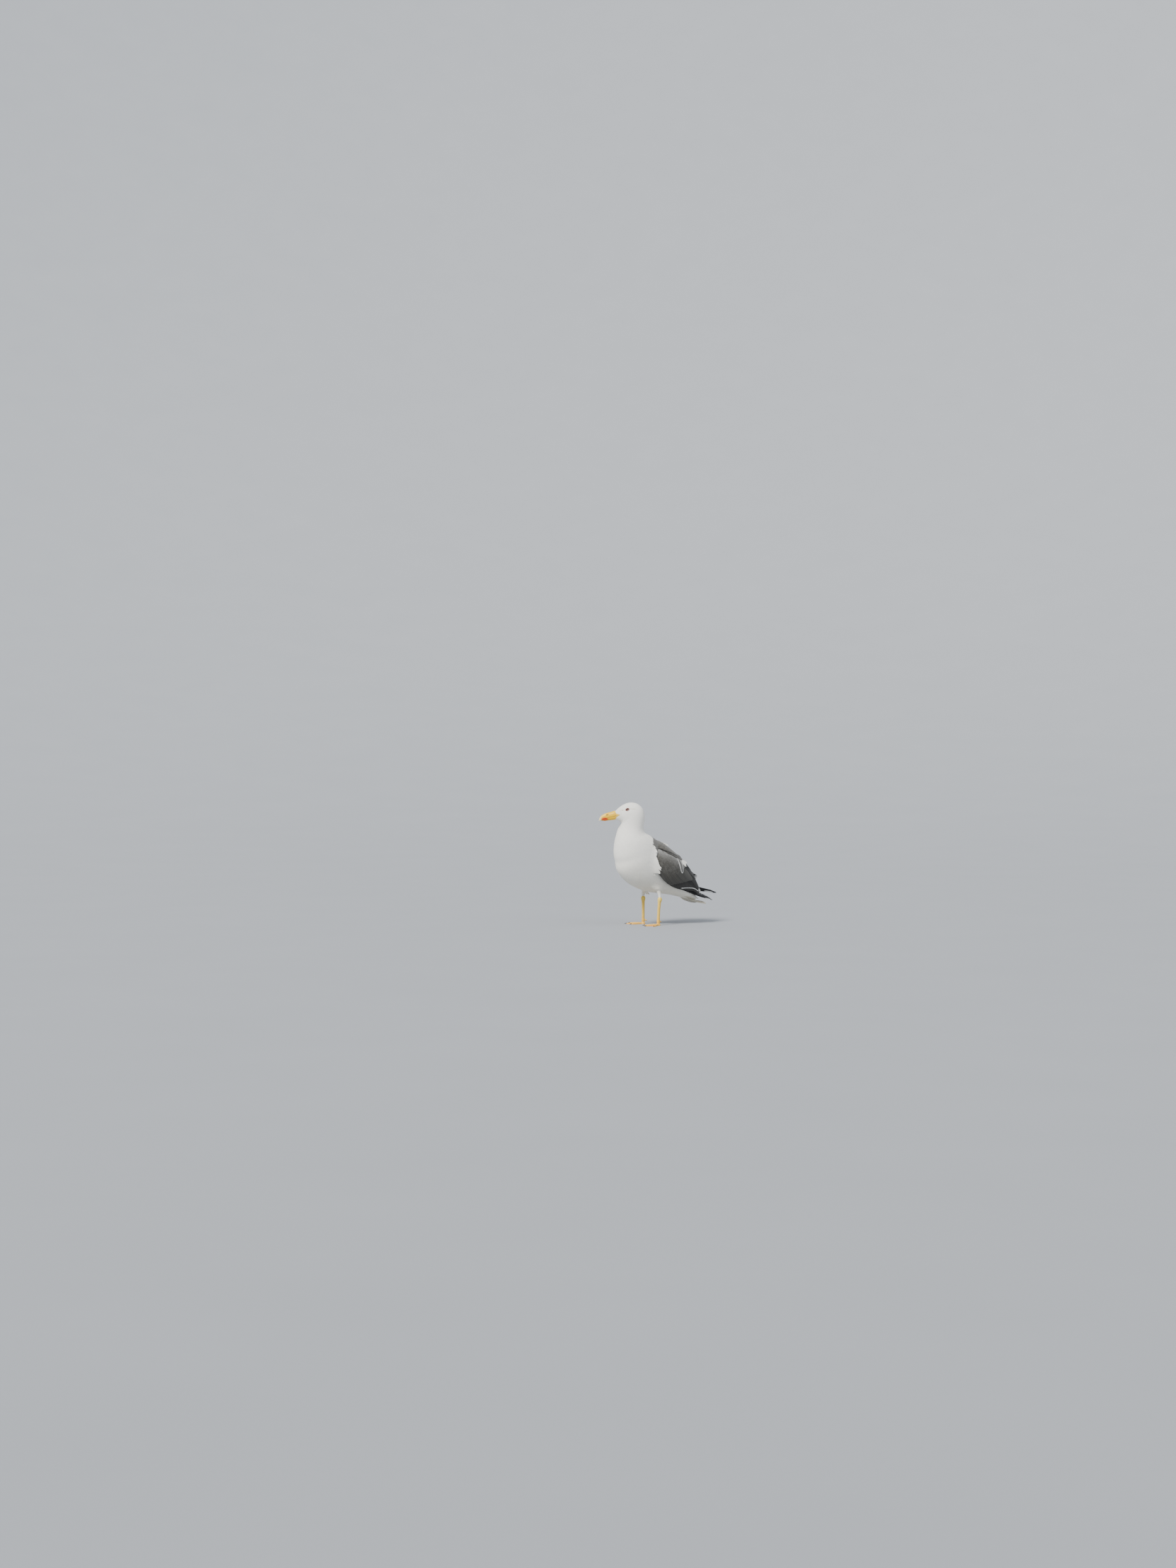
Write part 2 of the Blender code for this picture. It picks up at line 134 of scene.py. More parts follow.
def new_piece(name, points, faces, materials, slot, replaces=(), values=None, maps=None, sharp=40):
    """One object from points in mm and lists of faces (one array for each number of corners).
    values are numbers and maps are pairs of numbers for each point, kept as attributes and UV maps."""
    mesh = bpy.data.meshes.new(name)
    points = placed(points).reshape(-1, 3)
    mesh.vertices.add(len(points))
    mesh.vertices.foreach_set("co", points.astype(np.float32).ravel())
    corners = np.concatenate([f.ravel() for f in faces])
    sizes = np.concatenate([np.full(len(f), f.shape[1]) for f in faces])
    mesh.loops.add(len(corners))
    mesh.loops.foreach_set("vertex_index", corners.astype(np.int32))
    mesh.polygons.add(len(sizes))
    mesh.polygons.foreach_set("loop_start", (np.cumsum(sizes) - sizes).astype(np.int32))
    mesh.update(calc_edges=True)
    for key, value in (values or {}).items():
        layer = mesh.attributes.new(key, "FLOAT", "POINT")
        layer.data.foreach_set("value", np.asarray(value, np.float32).ravel())
    for key, value in (maps or {}).items():
        layer = mesh.uv_layers.new(name=key)
        layer.uv.foreach_set("vector", np.asarray(value, np.float32).reshape(-1, 2)[corners].ravel())
    mesh.shade_smooth()
    mesh.set_sharp_from_angle(angle=math.radians(sharp))
    for material in materials:
        mesh.materials.append(material)
    piece = linked(name, mesh)
    finish_piece(piece, slot, replaces)
    print(f"{name}: {len(points)} points, {len(sizes)} faces")
    return piece


def finish_piece(piece, slot, replaces):
    """Puts a piece on the model's body and hides the solids it stands for; slot is not used."""
    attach(piece, "root")
    if replaces:
        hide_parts(*replaces)


def spline(rows, at):
    """Catmull-Rom values of the table rows at the fractional row numbers in at. Beyond the table's ends
    the values run on in a straight line."""
    rows = np.asarray(rows, float)
    last = len(rows) - 1
    ends = [[row + k * (row - near) for k in steps] for row, near, steps in
            ((rows[0], rows[1], (2, 1)), (rows[-1], rows[-2], (1, 2)))]
    padded = np.concatenate([ends[0], rows, ends[1]])
    at = np.asarray(at, float)
    i = np.clip(np.floor(at).astype(int), -1, last)
    t = (at - i)[..., None]
    a, b, c, d = (padded[i + k + 1] for k in range(4))
    return 0.5 * (2 * b + (c - a) * t + (2 * a - 5 * b + 4 * c - d) * t**2 + (3 * b - a - 3 * c + d) * t**3)


def smooth_step(value, start, end):
    """0 up to start, 1 from end on, and a soft S between them."""
    t = np.clip((value - start) / (end - start), 0, 1)
    return t * t * (3 - 2 * t)


def bump(value, centre, size):
    """A soft hump of height 1 at centre, which fades out about two sizes away."""
    return np.exp(-(((value - centre) / size) ** 2))


# %% [markdown]
# ## The shapes that the feathers lie on
# Each part of the bird is a surface of two numbers: u runs back from the bill towards the tail, as the
# feathers lie, and v runs across. The coat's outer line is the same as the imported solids', so the tables
# are theirs. The skin is the same surface moved inwards by the depth of the coat.

# %% Head, neck and trunk
NECK_AXIS_Y = -64.0
HEAD_TURN = -30.0  # degrees, towards the bird's right
TURN_FULL, TURN_STARTS = 5.0, 11.5  # the rows in front of which all, and behind which nothing, is turned
# Rows from the bill to the tail: upper line y, z; lower line y, z; half width; how much fuller low down.
BODY = (
    (-113, 339, -110.5, 312.5, 9.5, 0.0), (-105, 346.5, -105, 309.5, 15.5, 0.0),
    (-94, 354.5, -99.5, 306, 21.0, 0.05), (-80, 361, -96.5, 303.5, 25.0, 0.08),
    (-65, 363, -96.5, 300.5, 27.5, 0.08), (-48, 359, -99.5, 296, 29.5, 0.05),
    (-34, 347, -103.5, 290.5, 31.0, 0.0), (-26.5, 329, -107, 283.5, 32.5, 0.0),
    (-26.5, 308, -110.5, 275, 34.5, 0.0), (-30, 289, -113.5, 265, 38.0, 0.0),
    (-26, 276, -117, 252, 43.0, 0.0), (-8, 266, -120, 235, 49.5, 0.0),
    (15, 253, -121, 211, 54.5, 0.0), (38, 240, -117, 182, 57.0, 0.03),
    (60, 226, -104, 152.5, 57.0, 0.06), (80, 210, -77, 126, 54.5, 0.08),
    (98, 191, -42, 108, 49.5, 0.1), (115, 169, -6, 97, 43.5, 0.12),
    (129, 147, 34, 91, 36.0, 0.12), (141, 121, 76, 85, 28.0, 0.1),
    (151, 100, 112, 77, 20.5, 0.05), (158, 90, 136, 72, 13.0, 0.0),
    (166, 80, 161, 67, 10.0, 0.0), (176, 72, 183, 62, 8.0, 0.0),  # the coverts' ends, on the tail
)
BODY_END = len(BODY) - 3


def outward(sign):
    """Makes a formula of u and v a surface: it takes arrays or numbers, and sign is 1 or -1, whichever
    makes the normals point out of the bird."""
    def made(formula):
        def surface(u, v):
            return formula(*np.broadcast_arrays(np.asarray(u, float), np.asarray(v, float)))

        surface.outward = sign
        return surface

    return made


def turned(points, amount):
    """Points turned about the upright neck axis by a share of HEAD_TURN."""
    angle = np.radians(HEAD_TURN) * amount
    x, y = points[..., 0], points[..., 1] - NECK_AXIS_Y
    return np.stack([x * np.cos(angle) - y * np.sin(angle),
                     x * np.sin(angle) + y * np.cos(angle) + NECK_AXIS_Y, points[..., 2]], axis=-1)


def head_point(forward, up, side=0.0):
    """A place on the turned head: forward of the neck axis, above the floor, to the bird's left."""
    forward, up, side = np.broadcast_arrays(forward, up, side)
    return turned(np.stack([side, NECK_AXIS_Y - forward, up], axis=-1).astype(float), 1.0)


@outward(-1)
def body_line(u, v):
    """The coat's outer line: a ring of BODY at row u, at the angle v from the upper line towards the left."""
    y1, z1, y0, z0, width, low = np.moveaxis(spline(BODY, u), -1, 0)
    along, across = np.cos(v), np.sin(v)
    y = (y1 + y0) / 2 + (y1 - y0) / 2 * along
    z = (z1 + z0) / 2 + (z1 - z0) / 2 * along
    x = width * across * (1 - low * along)
    return turned(np.stack([x, y, z], axis=-1), 1 - smooth_step(u, TURN_FULL, TURN_STARTS))


def slopes(surface, u, v, step=0.01):
    """Two tangents of a surface and its unit normal, from differences over a small step. The step is much
    smaller than a feather and much larger than the rounding of the numbers."""
    along = (surface(u + step, v) - surface(u - step, v)) / (2 * step)
    across = (surface(u, v + step) - surface(u, v - step)) / (2 * step)
    normal = np.cross(along, across) * surface.outward
    normal /= np.linalg.norm(normal, axis=-1, keepdims=True) + 1e-9
    return along, across, normal


# Swells and hollows of the coat: row, angle from the upper line, their sizes, and the height in mm.
RELIEF = (
    (2.6, 0.62, 0.9, 0.28, 0.7),  # brow over the eye
    (1.3, 1.35, 0.6, 0.35, -0.9),  # hollow in front of the eye
    (3.6, 2.05, 1.3, 0.5, 0.7),  # cheek
    (5.4, 3.14, 0.5, 1.1, -1.0),  # crease under the chin
    (12.8, 3.14, 0.4, 1.0, -2.4),  # fold across the breast, where the neck's feathers end
    (13.6, 3.14, 0.4, 0.9, 0.6),  # and the breast swelling out under it
    (16.5, 3.14, 2.5, 0.25, -0.8),  # parting of the belly
)


COAT_SINKS = 0.5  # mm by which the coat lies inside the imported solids


def from_top(v):
    """The angle from the upper line, whichever side."""
    return np.abs((v + np.pi) % (2 * np.pi) - np.pi)


@outward(-1)
def body(u, v):
    """The outer line of the body with its swells and hollows. It is nowhere outside body_line by more than
    a feather's thickness."""
    height = sum(rise * bump(u, row, long) * bump(from_top(v), angle, wide)
                 for row, angle, long, wide, rise in RELIEF)
    normal = slopes(body_line, u, v)[2]
    return body_line(u, v) + normal * (height - COAT_SINKS)[..., None]


print("the body's outline has", len(BODY), "rows, and", len(RELIEF), "swells and hollows")


# %% [markdown]
# A folded wing is a flat oval blade that curves round the body. u counts the sections from the wrist to
# the tips of the tertials, and v runs from 1 on the upper edge to -1 on the lower one. The right wing is
# the left one's mirror image, raised about the shoulder.

# %% Wings
# Rows: upper edge x, y, z; lower edge x, y, z; bulge; thickness.
WING = (
    (37, -15, 234, 55, -21, 184, 6, 5), (31, -2, 245, 57.5, -9, 155, 14, 10),
    (21, 19, 246, 55.5, 14, 132, 23, 14), (14, 47, 232, 50, 45, 114, 28, 15),
    (10, 78, 212, 43, 80, 104, 26, 14), (8, 106, 192, 37, 110, 100.5, 20, 12),
    (8, 134, 163, 32, 136, 98.5, 12, 9), (11, 157, 125, 28, 156, 94, 5, 6),
    (16, 172, 96, 24, 171.5, 88, 0.5, 3),
)
PRIMARIES = (
    (25, 96, 117, 32, 99, 98, 2, 5), (18, 128, 108, 29, 132, 87, 2, 5.5),
    (8, 166, 94, 21, 171, 76, 1.5, 5.5), (1, 206, 81, 10, 207, 69, 1, 4.5),
    (-4, 233, 68, 0, 233, 65, 0, 2),
)
LIFT = {"left": (0, 0, 0), "right": (2, 14, 5)}  # degrees: at the wrist, at the tertial tips, primaries
SHOULDER = np.array([0.0, -10.0, 200.0])
SIDES = {"left": 1, "right": -1}
WING_END = len(WING) - 1


def blade(table, u, v, face):
    """A point of a folded blade: on its outer face for face 1, on its inner face for -1, and between them
    for less."""
    values = spline(table, u)
    before, after = spline(table, u - 0.05), spline(table, u + 0.05)
    upper, lower = values[..., 0:3], values[..., 3:6]
    run = (after - before)[..., 0:3] + (after - before)[..., 3:6]
    height = np.linalg.norm(upper - lower, axis=-1, keepdims=True)
    out = np.cross(run, (upper - lower) / height)
    out /= np.linalg.norm(out, axis=-1, keepdims=True)
    out *= np.sign(out[..., :1])
    place = np.clip(v, -1, 1)
    full = face * (1 - place**2) ** 0.3
    offset = values[..., 6] * (1 - place**2) + values[..., 7] / 2 * full
    middle = (upper + lower) / 2 + (upper - lower) / 2 * np.asarray(v)[..., None]
    return middle + out * offset[..., None]


def lifted(points, degrees, side):
    """Points raised about the shoulder, and mirrored for the right wing."""
    angle = np.radians(degrees)
    x, y, z = np.moveaxis(points - SHOULDER, -1, 0)
    x = x * SIDES[side]
    return np.stack([x, y * np.cos(angle) - z * np.sin(angle),
                     y * np.sin(angle) + z * np.cos(angle)], axis=-1) + SHOULDER


def wing(side, face=1):
    """The surface of one folded wing, as a function of u and v. Where each feather has a layer of its own,
    face holds one number for each feather."""
    at_wrist, at_tip, _ = LIFT[side]
    layers = np.atleast_1d(face).astype(float)

    @outward(SIDES[side] * (1 if layers[0] >= 0 else -1))
    def surface(u, v):
        level = layers.reshape(-1, *[1] * (u.ndim - 1)) if len(layers) > 1 else layers[0]
        degrees = at_wrist + (at_tip - at_wrist) * np.clip(u / WING_END, 0, 1.1) ** 3
        return lifted(blade(WING, u, v, level), degrees, side)

    return surface


def primary_stack(side):
    """The surface in the middle of the stack of folded primaries."""
    return outward(SIDES[side])(lambda u, v: lifted(blade(PRIMARIES, u, v, 0.0), LIFT[side][2], side))


print("wing tables:", len(WING), "and", len(PRIMARIES), "sections")


# %% [markdown]
# The tail is a fan that droops to both sides. Thighs and shanks are stacks of level ovals, and the feet are
# worked out later from the ankles' places.

# %% Tail and legs
# The tail's rows: y, z of the underside on the middle line, half the width, thickness.
TAIL = ((108, 87, 18, 8), (132, 73.5, 21, 7), (155, 66.5, 24.5, 5), (173, 63.5, 27.5, 4),
        (189, 61.5, 28.5, 3))
TAIL_ARCH = 5.5
# The legs' rows: height, how far back and inward, half the width to the side and fore and aft.
SHANK = ((83.7, 5.4, 0, 3.2, 3.6), (80.5, 5.5, 0, 5.2, 5.8), (76.5, 5.6, 0, 6.3, 7.0),
         (71.5, 4.8, 0, 5.6, 6.2), (66, 3.8, 0, 4.3, 5.0), (45, 1.8, 0, 3.8, 4.6), (20, 0.4, 0, 3.9, 4.6),
         (12, 0.0, 0, 4.8, 5.0), (9.3, 0.0, 0, 4.6, 4.8))
# Only the lower thigh shows; its upper part lies in the belly's coat, slimmer than the solid.
THIGH = ((126, -4, 11, 8, 11), (112, -0.5, 7, 7.6, 10), (101, 2.6, 3.6, 5.8, 7.2),
         (92, 4.8, 1.0, 4.7, 5.5), (84, 5.4, 0, 3.8, 4.2))
STANCE = 75.0
STRIDE = {"left": -4.0, "right": -2.0}
LEG_LEAN = {"left": 1.0, "right": 0.0}


@outward(-1)
def tail_middle(u, v):
    """The surface half way up in the tail; v runs from -1 to 1 across."""
    y, z, width, thick = np.moveaxis(spline(TAIL, u), -1, 0)
    return np.stack([width * v, y, z + thick / 2 - TAIL_ARCH * v**2], axis=-1)


def leg_place(side):
    """Where the ankle stands over the floor."""
    return np.array([STANCE / 2 * SIDES[side], -STRIDE[side], 0.0])


def leg_surface(table, side):
    """A leg as level ovals: u counts the table's rows down the leg, and v is the angle round it."""
    @outward(1)
    def surface(u, v):
        height, back, inward, wide, long = np.moveaxis(spline(table, u), -1, 0)
        x = wide * np.cos(v) - inward * SIDES[side]
        y = back * LEG_LEAN[side] + long * np.sin(v)
        return np.stack([x, y, height], axis=-1) + leg_place(side)

    return surface


print("ankles at", *(leg_place(side) for side in SIDES), "mm")


# %% [markdown]
# ## One formula for every feather
# A feather runs from its root to its tip over the surface, so both are places (u, v) on it. Its vane is a
# grid: t runs along the shaft from 0 to 1, w across from -1 to 1. Each grid point is first moved sideways
# within the surface, then lifted along the normal. Roots lie deep in the coat and tips lie on top, so
# every feather covers the roots of those behind it, as roof tiles do. The vane is a thin closed lens: its
# underside joins its two edges.

# %% Feathers
def vane_profile(t, blunt, quill=0.35):
    """Half the vane's width along the shaft, at most 1: it opens from the quill and rounds off at the tip."""
    opening = quill + (1 - quill) * smooth_step(t, 0, 0.45)
    return opening * (1 - 0.97 * np.clip((t - 0.5) / 0.5, 0, 1) ** blunt) ** 0.5


def step_on(slope, vector):
    """The change of (u, v) that moves a point of a surface by a vector in its tangent plane."""
    along, across = slope
    e, f, g = (np.sum(a * b, -1) for a, b in ((along, along), (along, across), (across, across)))
    p, q = np.sum(vector * along, -1), np.sum(vector * across, -1)
    area = e * g - f * f + 1e-9
    return np.stack([(g * p - f * q) / area, (e * q - f * p) / area], axis=-1)


def tips_from(surface, root, length, turn):
    """The tips of feathers with these roots: a length in mm along u, turned by an angle towards v."""
    along, across, normal = slopes(surface, *root.T)
    run = along / np.linalg.norm(along, axis=-1, keepdims=True)
    side = np.cross(normal, run)
    way = run * np.cos(turn)[:, None] + side * np.sin(turn)[:, None]
    return root + step_on((along, across), way * np.asarray(length)[:, None])


def vanes(surface, root, tip, half_width, depth, lift=0.0, rows=6, columns=3, camber=0.12, blunt=2.4,
          roll=0.0, bend=0.0, quill=0.35, narrow=0.0, top=0.0, thick=0.0, flat=2.2):
    """A batch of feathers. half_width, depth (of the root), lift (of the tip) and top (of the whole
    feather) are in mm; camber, roll, bend and narrow are shares of the half width. The more flat is above
    1, the longer the end that lies level."""
    count = len(root)
    half_width, depth, lift, roll, bend, top = (
        np.broadcast_to(np.asarray(x, float), count)[:, None] for x in
        (half_width, depth, lift, roll, bend, top))
    t = np.linspace(0, 1, rows) ** 0.85
    w = np.linspace(-1, 1, columns)
    centre = root[:, None] + (tip - root)[:, None] * t[None, :, None]
    along, across, normal = slopes(surface, centre[..., 0], centre[..., 1])
    run = along * (tip - root)[:, None, :1] + across * (tip - root)[:, None, 1:]
    run /= np.linalg.norm(run, axis=-1, keepdims=True) + 1e-9
    side = np.cross(normal, run)
    reach = half_width * vane_profile(t, blunt, quill)[None]
    sway = bend * half_width * np.sin(np.pi * t)[None]
    place = reach[..., None] * (w + narrow * (1 - w**2)) + sway[..., None]
    shift = step_on((along[:, :, None], across[:, :, None]), side[:, :, None] * place[..., None])
    uv = centre[:, :, None] + shift
    points = surface(uv[..., 0], uv[..., 1])
    height = (top - depth * (1 - t) ** flat + lift * t**2)[..., None]
    height = height - camber * reach[..., None] * w**2 + roll[..., None] * reach[..., None] * w
    points = points + normal[:, :, None] * height[..., None]
    if thick:
        lower = points - normal[:, :, None] * thick * (1 - 0.6 * t[:, None, None])
        points, uv = np.concatenate([points, lower], axis=1), np.concatenate([uv, uv], axis=1)
    grid = np.broadcast_to(np.stack(np.meshgrid((w + 1) / 2, t), axis=-1), (count, rows, columns, 2))
    grid = np.concatenate([grid, grid], axis=1) if thick else grid
    return {"points": points, "vane": grid, "uv": uv, "root": root, "rows": rows, "columns": columns,
            "thick": bool(thick), "shade": np.zeros(count), "chance": rng.random(count)}


def vane_faces(rows, columns, thick):
    """Faces of one feather: the upper vane, and the underside that joins its two edges or is a vane too."""
    upper, lower = grid_faces(rows, columns, flip=True), grid_faces(rows, columns)
    left = np.arange(rows) * columns
    right, low, last = left + columns - 1, rows * columns, (rows - 1) * columns
    across = np.arange(columns - 1)
    if not thick:
        under = np.stack([left[:-1], right[:-1], right[1:], left[1:]], axis=-1)
        ends = np.array([np.arange(columns), last + np.arange(columns)[::-1]])
        return [np.concatenate([upper, under]), ends]
    rims = [(left[1:], left[:-1], left[:-1] + low, left[1:] + low),
            (right[:-1], right[1:], right[1:] + low, right[:-1] + low),
            (across, across + 1, across + 1 + low, across + low),
            (last + across + 1, last + across, last + across + low, last + across + 1 + low)]
    return [np.concatenate([upper, lower + low, *(np.stack(rim, axis=-1) for rim in rims)])]


small, large = (sum(map(len, vane_faces(*size))) for size in ((6, 3, False), (30, 9, True)))
print("a body feather has", small, "faces, a flight feather", large)
root_marks = []  # for the skin: root places, tones, and the number of the finish


def coat_piece(name, batches, slot="white_plumage", replaces=(), span=(BODY_END, 2 * np.pi), patch=0.003):
    """Joins batches of feathers into one mesh. Its map OFBake has a small patch for each feather at its
    root's place on the unrolled surface; Vane holds the place in the feather."""
    points, faces, vane, unrolled, shade, chance = [], {}, [], [], [], []
    start = 0
    for batch in batches:
        count, each = len(batch["points"]), int(np.prod(batch["points"].shape[1:3]))
        for group in vane_faces(batch["rows"], batch["columns"], batch["thick"]):
            whole = group[None] + (start + np.arange(count) * each)[:, None, None]
            faces.setdefault(group.shape[1], []).append(whole.reshape(-1, group.shape[1]))
        start += count * each
        points.append(batch["points"].reshape(-1, 3))
        tones = batch["shade"].reshape(count, -1).mean(axis=1)
        root_marks.append((batch["points"].reshape(count, -1, 3)[:, 0], tones, list(plumages).index(slot)))
        grid = batch["vane"].reshape(count, each, 2)
        home = batch["root"] / np.array(span)
        vane.append(grid.reshape(-1, 2))
        unrolled.append(((home % 1)[:, None] * (1 - patch) + grid[..., ::-1] * patch).reshape(-1, 2))
        shade.append(np.broadcast_to(batch["shade"].reshape(count, -1), (count, each)).ravel())
        chance.append(np.repeat(batch["chance"], each))
    return new_piece(name, np.concatenate(points), [np.concatenate(f) for f in faces.values()],
                     [plumages[slot]], slot, replaces,
                     {"shade": np.concatenate(shade), "chance": np.concatenate(chance)},
                     {"OFBake": np.concatenate(unrolled), "Vane": np.concatenate(vane)})


# %% [markdown]
# ## Finishes
# Each finish is a small network of shader nodes. Written as a formula it is easier to read, so a class
# wraps a socket, and the signs +, -, * and / on it add the Math nodes.

# %% Shader formulas
class Socket:
    """A value in a shader: formulas on it add Math nodes to its material."""

    def __init__(self, shader, output):
        self.shader, self.output = shader, output

    def math(self, operation, *others):
        return self.shader.node("ShaderNodeMath", {"operation": operation},
                                dict(enumerate((self, *others))))

    def __add__(self, other):
        return self.math("ADD", other)

    def __mul__(self, other):
        return self.math("MULTIPLY", other)

    def __sub__(self, other):
        return self.math("SUBTRACT", other)

    def __rsub__(self, other):
        return self.math("MULTIPLY", -1) + other

    def __truediv__(self, other):
        return self.math("DIVIDE", other)

    def __pow__(self, other):
        return self.math("POWER", other)

    __radd__, __rmul__ = __add__, __mul__

    def ramp(self, start, end):
        """0 up to start, 1 from end on, and a soft S between them."""
        return self.shader.node("ShaderNodeMapRange", {"interpolation_type": "SMOOTHSTEP"},
                                {"Value": self, "From Min": start, "From Max": end})


class Shader:
    """A Principled material under construction."""

    def __init__(self, name, **constants):
        self.material = bpy.data.materials.new(name)
        self.material.use_nodes = True
        self.nodes = self.material.node_tree.nodes
        self.surface = self.nodes["Principled BSDF"]
        for key, value in constants.items():
            self.surface.inputs[key.replace("_", " ")].default_value = value

    def node(self, kind, settings=None, inputs=None, output=0):
        """One node: its settings first, then the values or links of its sockets."""
        made = self.nodes.new(kind)
        for key, value in (settings or {}).items():
            setattr(made, key, value)
        for key, value in (inputs or {}).items():
            self.feed(made.inputs[key], value)
        return Socket(self, made.outputs[output])

    def feed(self, socket, value):
        if isinstance(value, Socket):
            self.material.node_tree.links.new(value.output, socket)
        else:
            socket.default_value = (*value, 1) if isinstance(value, tuple) and len(value) == 3 and \
                socket.type == "RGBA" else value

    def set(self, **inputs):
        for key, value in inputs.items():
            self.feed(self.surface.inputs[key.replace("_", " ")], value)
        return self.material

    def attribute(self, name):
        return self.node("ShaderNodeAttribute", {"attribute_name": name}, output="Fac")

    def axes(self, vector):
        """The three numbers of a vector."""
        split = self.node("ShaderNodeSeparateXYZ", None, {0: vector}).output.node
        return [Socket(self, out) for out in split.outputs]

    def vane(self):
        """Across and along in a feather: 0 to 1 from its left edge, and 0 at the root to 1 at the tip."""
        return self.axes(self.node("ShaderNodeUVMap", {"uv_map": "Vane"}))[:2]

    def place(self, scale=(1, 1, 1)):
        """The place on the object, in mm times scale."""
        spot = self.node("ShaderNodeTexCoord", output="Object")
        stretch = tuple(s / MM for s in scale)
        return self.node("ShaderNodeVectorMath", {"operation": "MULTIPLY"}, {0: spot, 1: stretch})

    def noise(self, vector, scale, detail=3.0):
        return self.node("ShaderNodeTexNoise", None, {"Vector": vector, "Scale": scale, "Detail": detail})

    def mix(self, share, first, second, blend="MIX"):
        """Colours from first to second."""
        settings = {"data_type": "RGBA", "blend_type": blend}
        return self.node("ShaderNodeMix", settings, {0: share, 6: first, 7: second}, output=2)

    def layers(self, colour, *over):
        """A colour with others over it: each is its share and itself."""
        for share, other in over:
            colour = self.mix(share, colour, other)
        return colour

    def relief(self, height, distance, strength=1.0):
        """A normal from a height between 0 and 1, that stands for a relief of distance in mm."""
        return self.node("ShaderNodeBump", None,
                         {"Height": height, "Distance": distance * MM, "Strength": strength})


# %% [markdown]
# Plumage is matt and soft: barbs run from the shaft to the vane's edge at a slant, and each feather differs
# a little from its neighbours. The attribute shade says where a feather stands in its finish's range of
# tones, and it is worked out from the same markings for the skin and for the coat.

# %% Plumage
WHITES = ((0.0, (0.905, 0.897, 0.845)), (0.5, (0.80, 0.77, 0.665)), (1.0, (0.50, 0.465, 0.37)))
GREYS = ((0.0, (0.78, 0.78, 0.75)), (0.25, (0.34, 0.342, 0.33)), (0.5, (0.152, 0.149, 0.139)),
         (0.75, (0.061, 0.058, 0.050)), (1.0, (0.014, 0.0135, 0.0125)))
BLACKS = ((0.0, (0.82, 0.82, 0.79)), (0.25, (0.28, 0.28, 0.27)), (0.5, (0.05, 0.05, 0.048)),
          (1.0, (0.006, 0.006, 0.007)))


def plumage(name, tones, barbs, contrast, shaft, rough, strands):
    """A finish for feathers. Barbs: waves along t plus the distance from the shaft. Strands: noise drawn
    out along the feather. Tone: shade through the tones, lighter or darker by each feather's chance."""
    shader = Shader(name, Roughness=rough, Sheen_Weight=0.1, Sheen_Roughness=0.5, IOR=1.4)
    across, along = shader.vane()
    off = (across - 0.5).math("ABSOLUTE")
    chance = shader.attribute("chance")
    barb = ((along * barbs + off * (barbs * 0.6)) * math.tau).math("SINE") * 0.5 + 0.5
    drawn = shader.node("ShaderNodeCombineXYZ", None, {0: across * strands, 1: along * 1.6, 2: chance * 41})
    strand = shader.noise(drawn, 1.0, 3.0)
    cloud = shader.noise(shader.place(), 0.11, 4.0)
    ramp = shader.node("ShaderNodeValToRGB", None, {0: shader.attribute("shade")})
    stops = ramp.output.node.color_ramp.elements
    for k, (at, colour) in enumerate(tones):
        stop = stops[k] if k < 2 else stops.new(at)
        stop.position = at
        stop.color = (*colour, 1)
    light = 1 + contrast * (chance - 0.5) + contrast * 1.5 * (cloud - 0.5)
    light = light + contrast * 0.5 * (barb - 0.5) + contrast * 1.6 * (strand - 0.5)
    light = light * (1 - 0.3 * contrast * (1 - along.ramp(0.1, 0.7)))
    light = light * (1 - shaft * (1 - off.ramp(0.0, 0.035)))
    grey = shader.node("ShaderNodeCombineColor", None, {0: light, 1: light, 2: light})
    colour = shader.mix(1.0, ramp, grey, "MULTIPLY")
    height = barb * 0.35 + strand * 1.2 + (1 - off.ramp(0.0, 0.06)) * 0.5
    return shader.set(Base_Color=colour, Normal=shader.relief(height, 0.09, 0.6))


plumages = {
    "white_plumage": plumage("white_feathers", WHITES, barbs=16, contrast=0.05, shaft=0.0, rough=0.8,
                             strands=9.0),
    "grey_plumage": plumage("grey_feathers", GREYS, barbs=30, contrast=0.22, shaft=0.2, rough=0.68,
                            strands=16.0),
    "black_plumage": plumage("black_feathers", BLACKS, barbs=90, contrast=0.3, shaft=0.3, rough=0.5,
                             strands=24.0),
}
print("finishes:", *plumages)


# %% [markdown]
# ## The coat of the body
# A gull's face has feathers of 3 mm, its belly of 25 mm. The table COAT gives, along the body, how far
# apart their roots are, how long and wide they are, and how deep the coat is. Roots stand in staggered
# rows, as on a plucked bird, with a little chance in each.

# %% Where feathers grow
# Row of the body: spacing, length, half width, depth of the coat.
COAT_ROWS = (0, 1.5, 4, 7, 9, 11, 13.5, 17, 19.5, 21)
COAT = {
    "spacing": (0.95, 1.1, 1.35, 1.75, 2.1, 2.6, 3.2, 3.8, 3.8, 3.4),
    "length": (2.6, 3.8, 6.0, 9.0, 11.5, 14, 17, 21, 24, 22),
    "half": (0.72, 0.95, 1.3, 1.9, 2.5, 3.2, 4.0, 4.8, 5.0, 4.2),
    "depth": (0.45, 0.55, 0.8, 1.15, 1.6, 2.3, 3.0, 3.6, 3.4, 2.4),
}
WING_COVERS = 5.0  # mm from a wing's inner face, within which no body feather grows


def coat(column, u):
    return np.interp(u, COAT_ROWS, COAT[column])


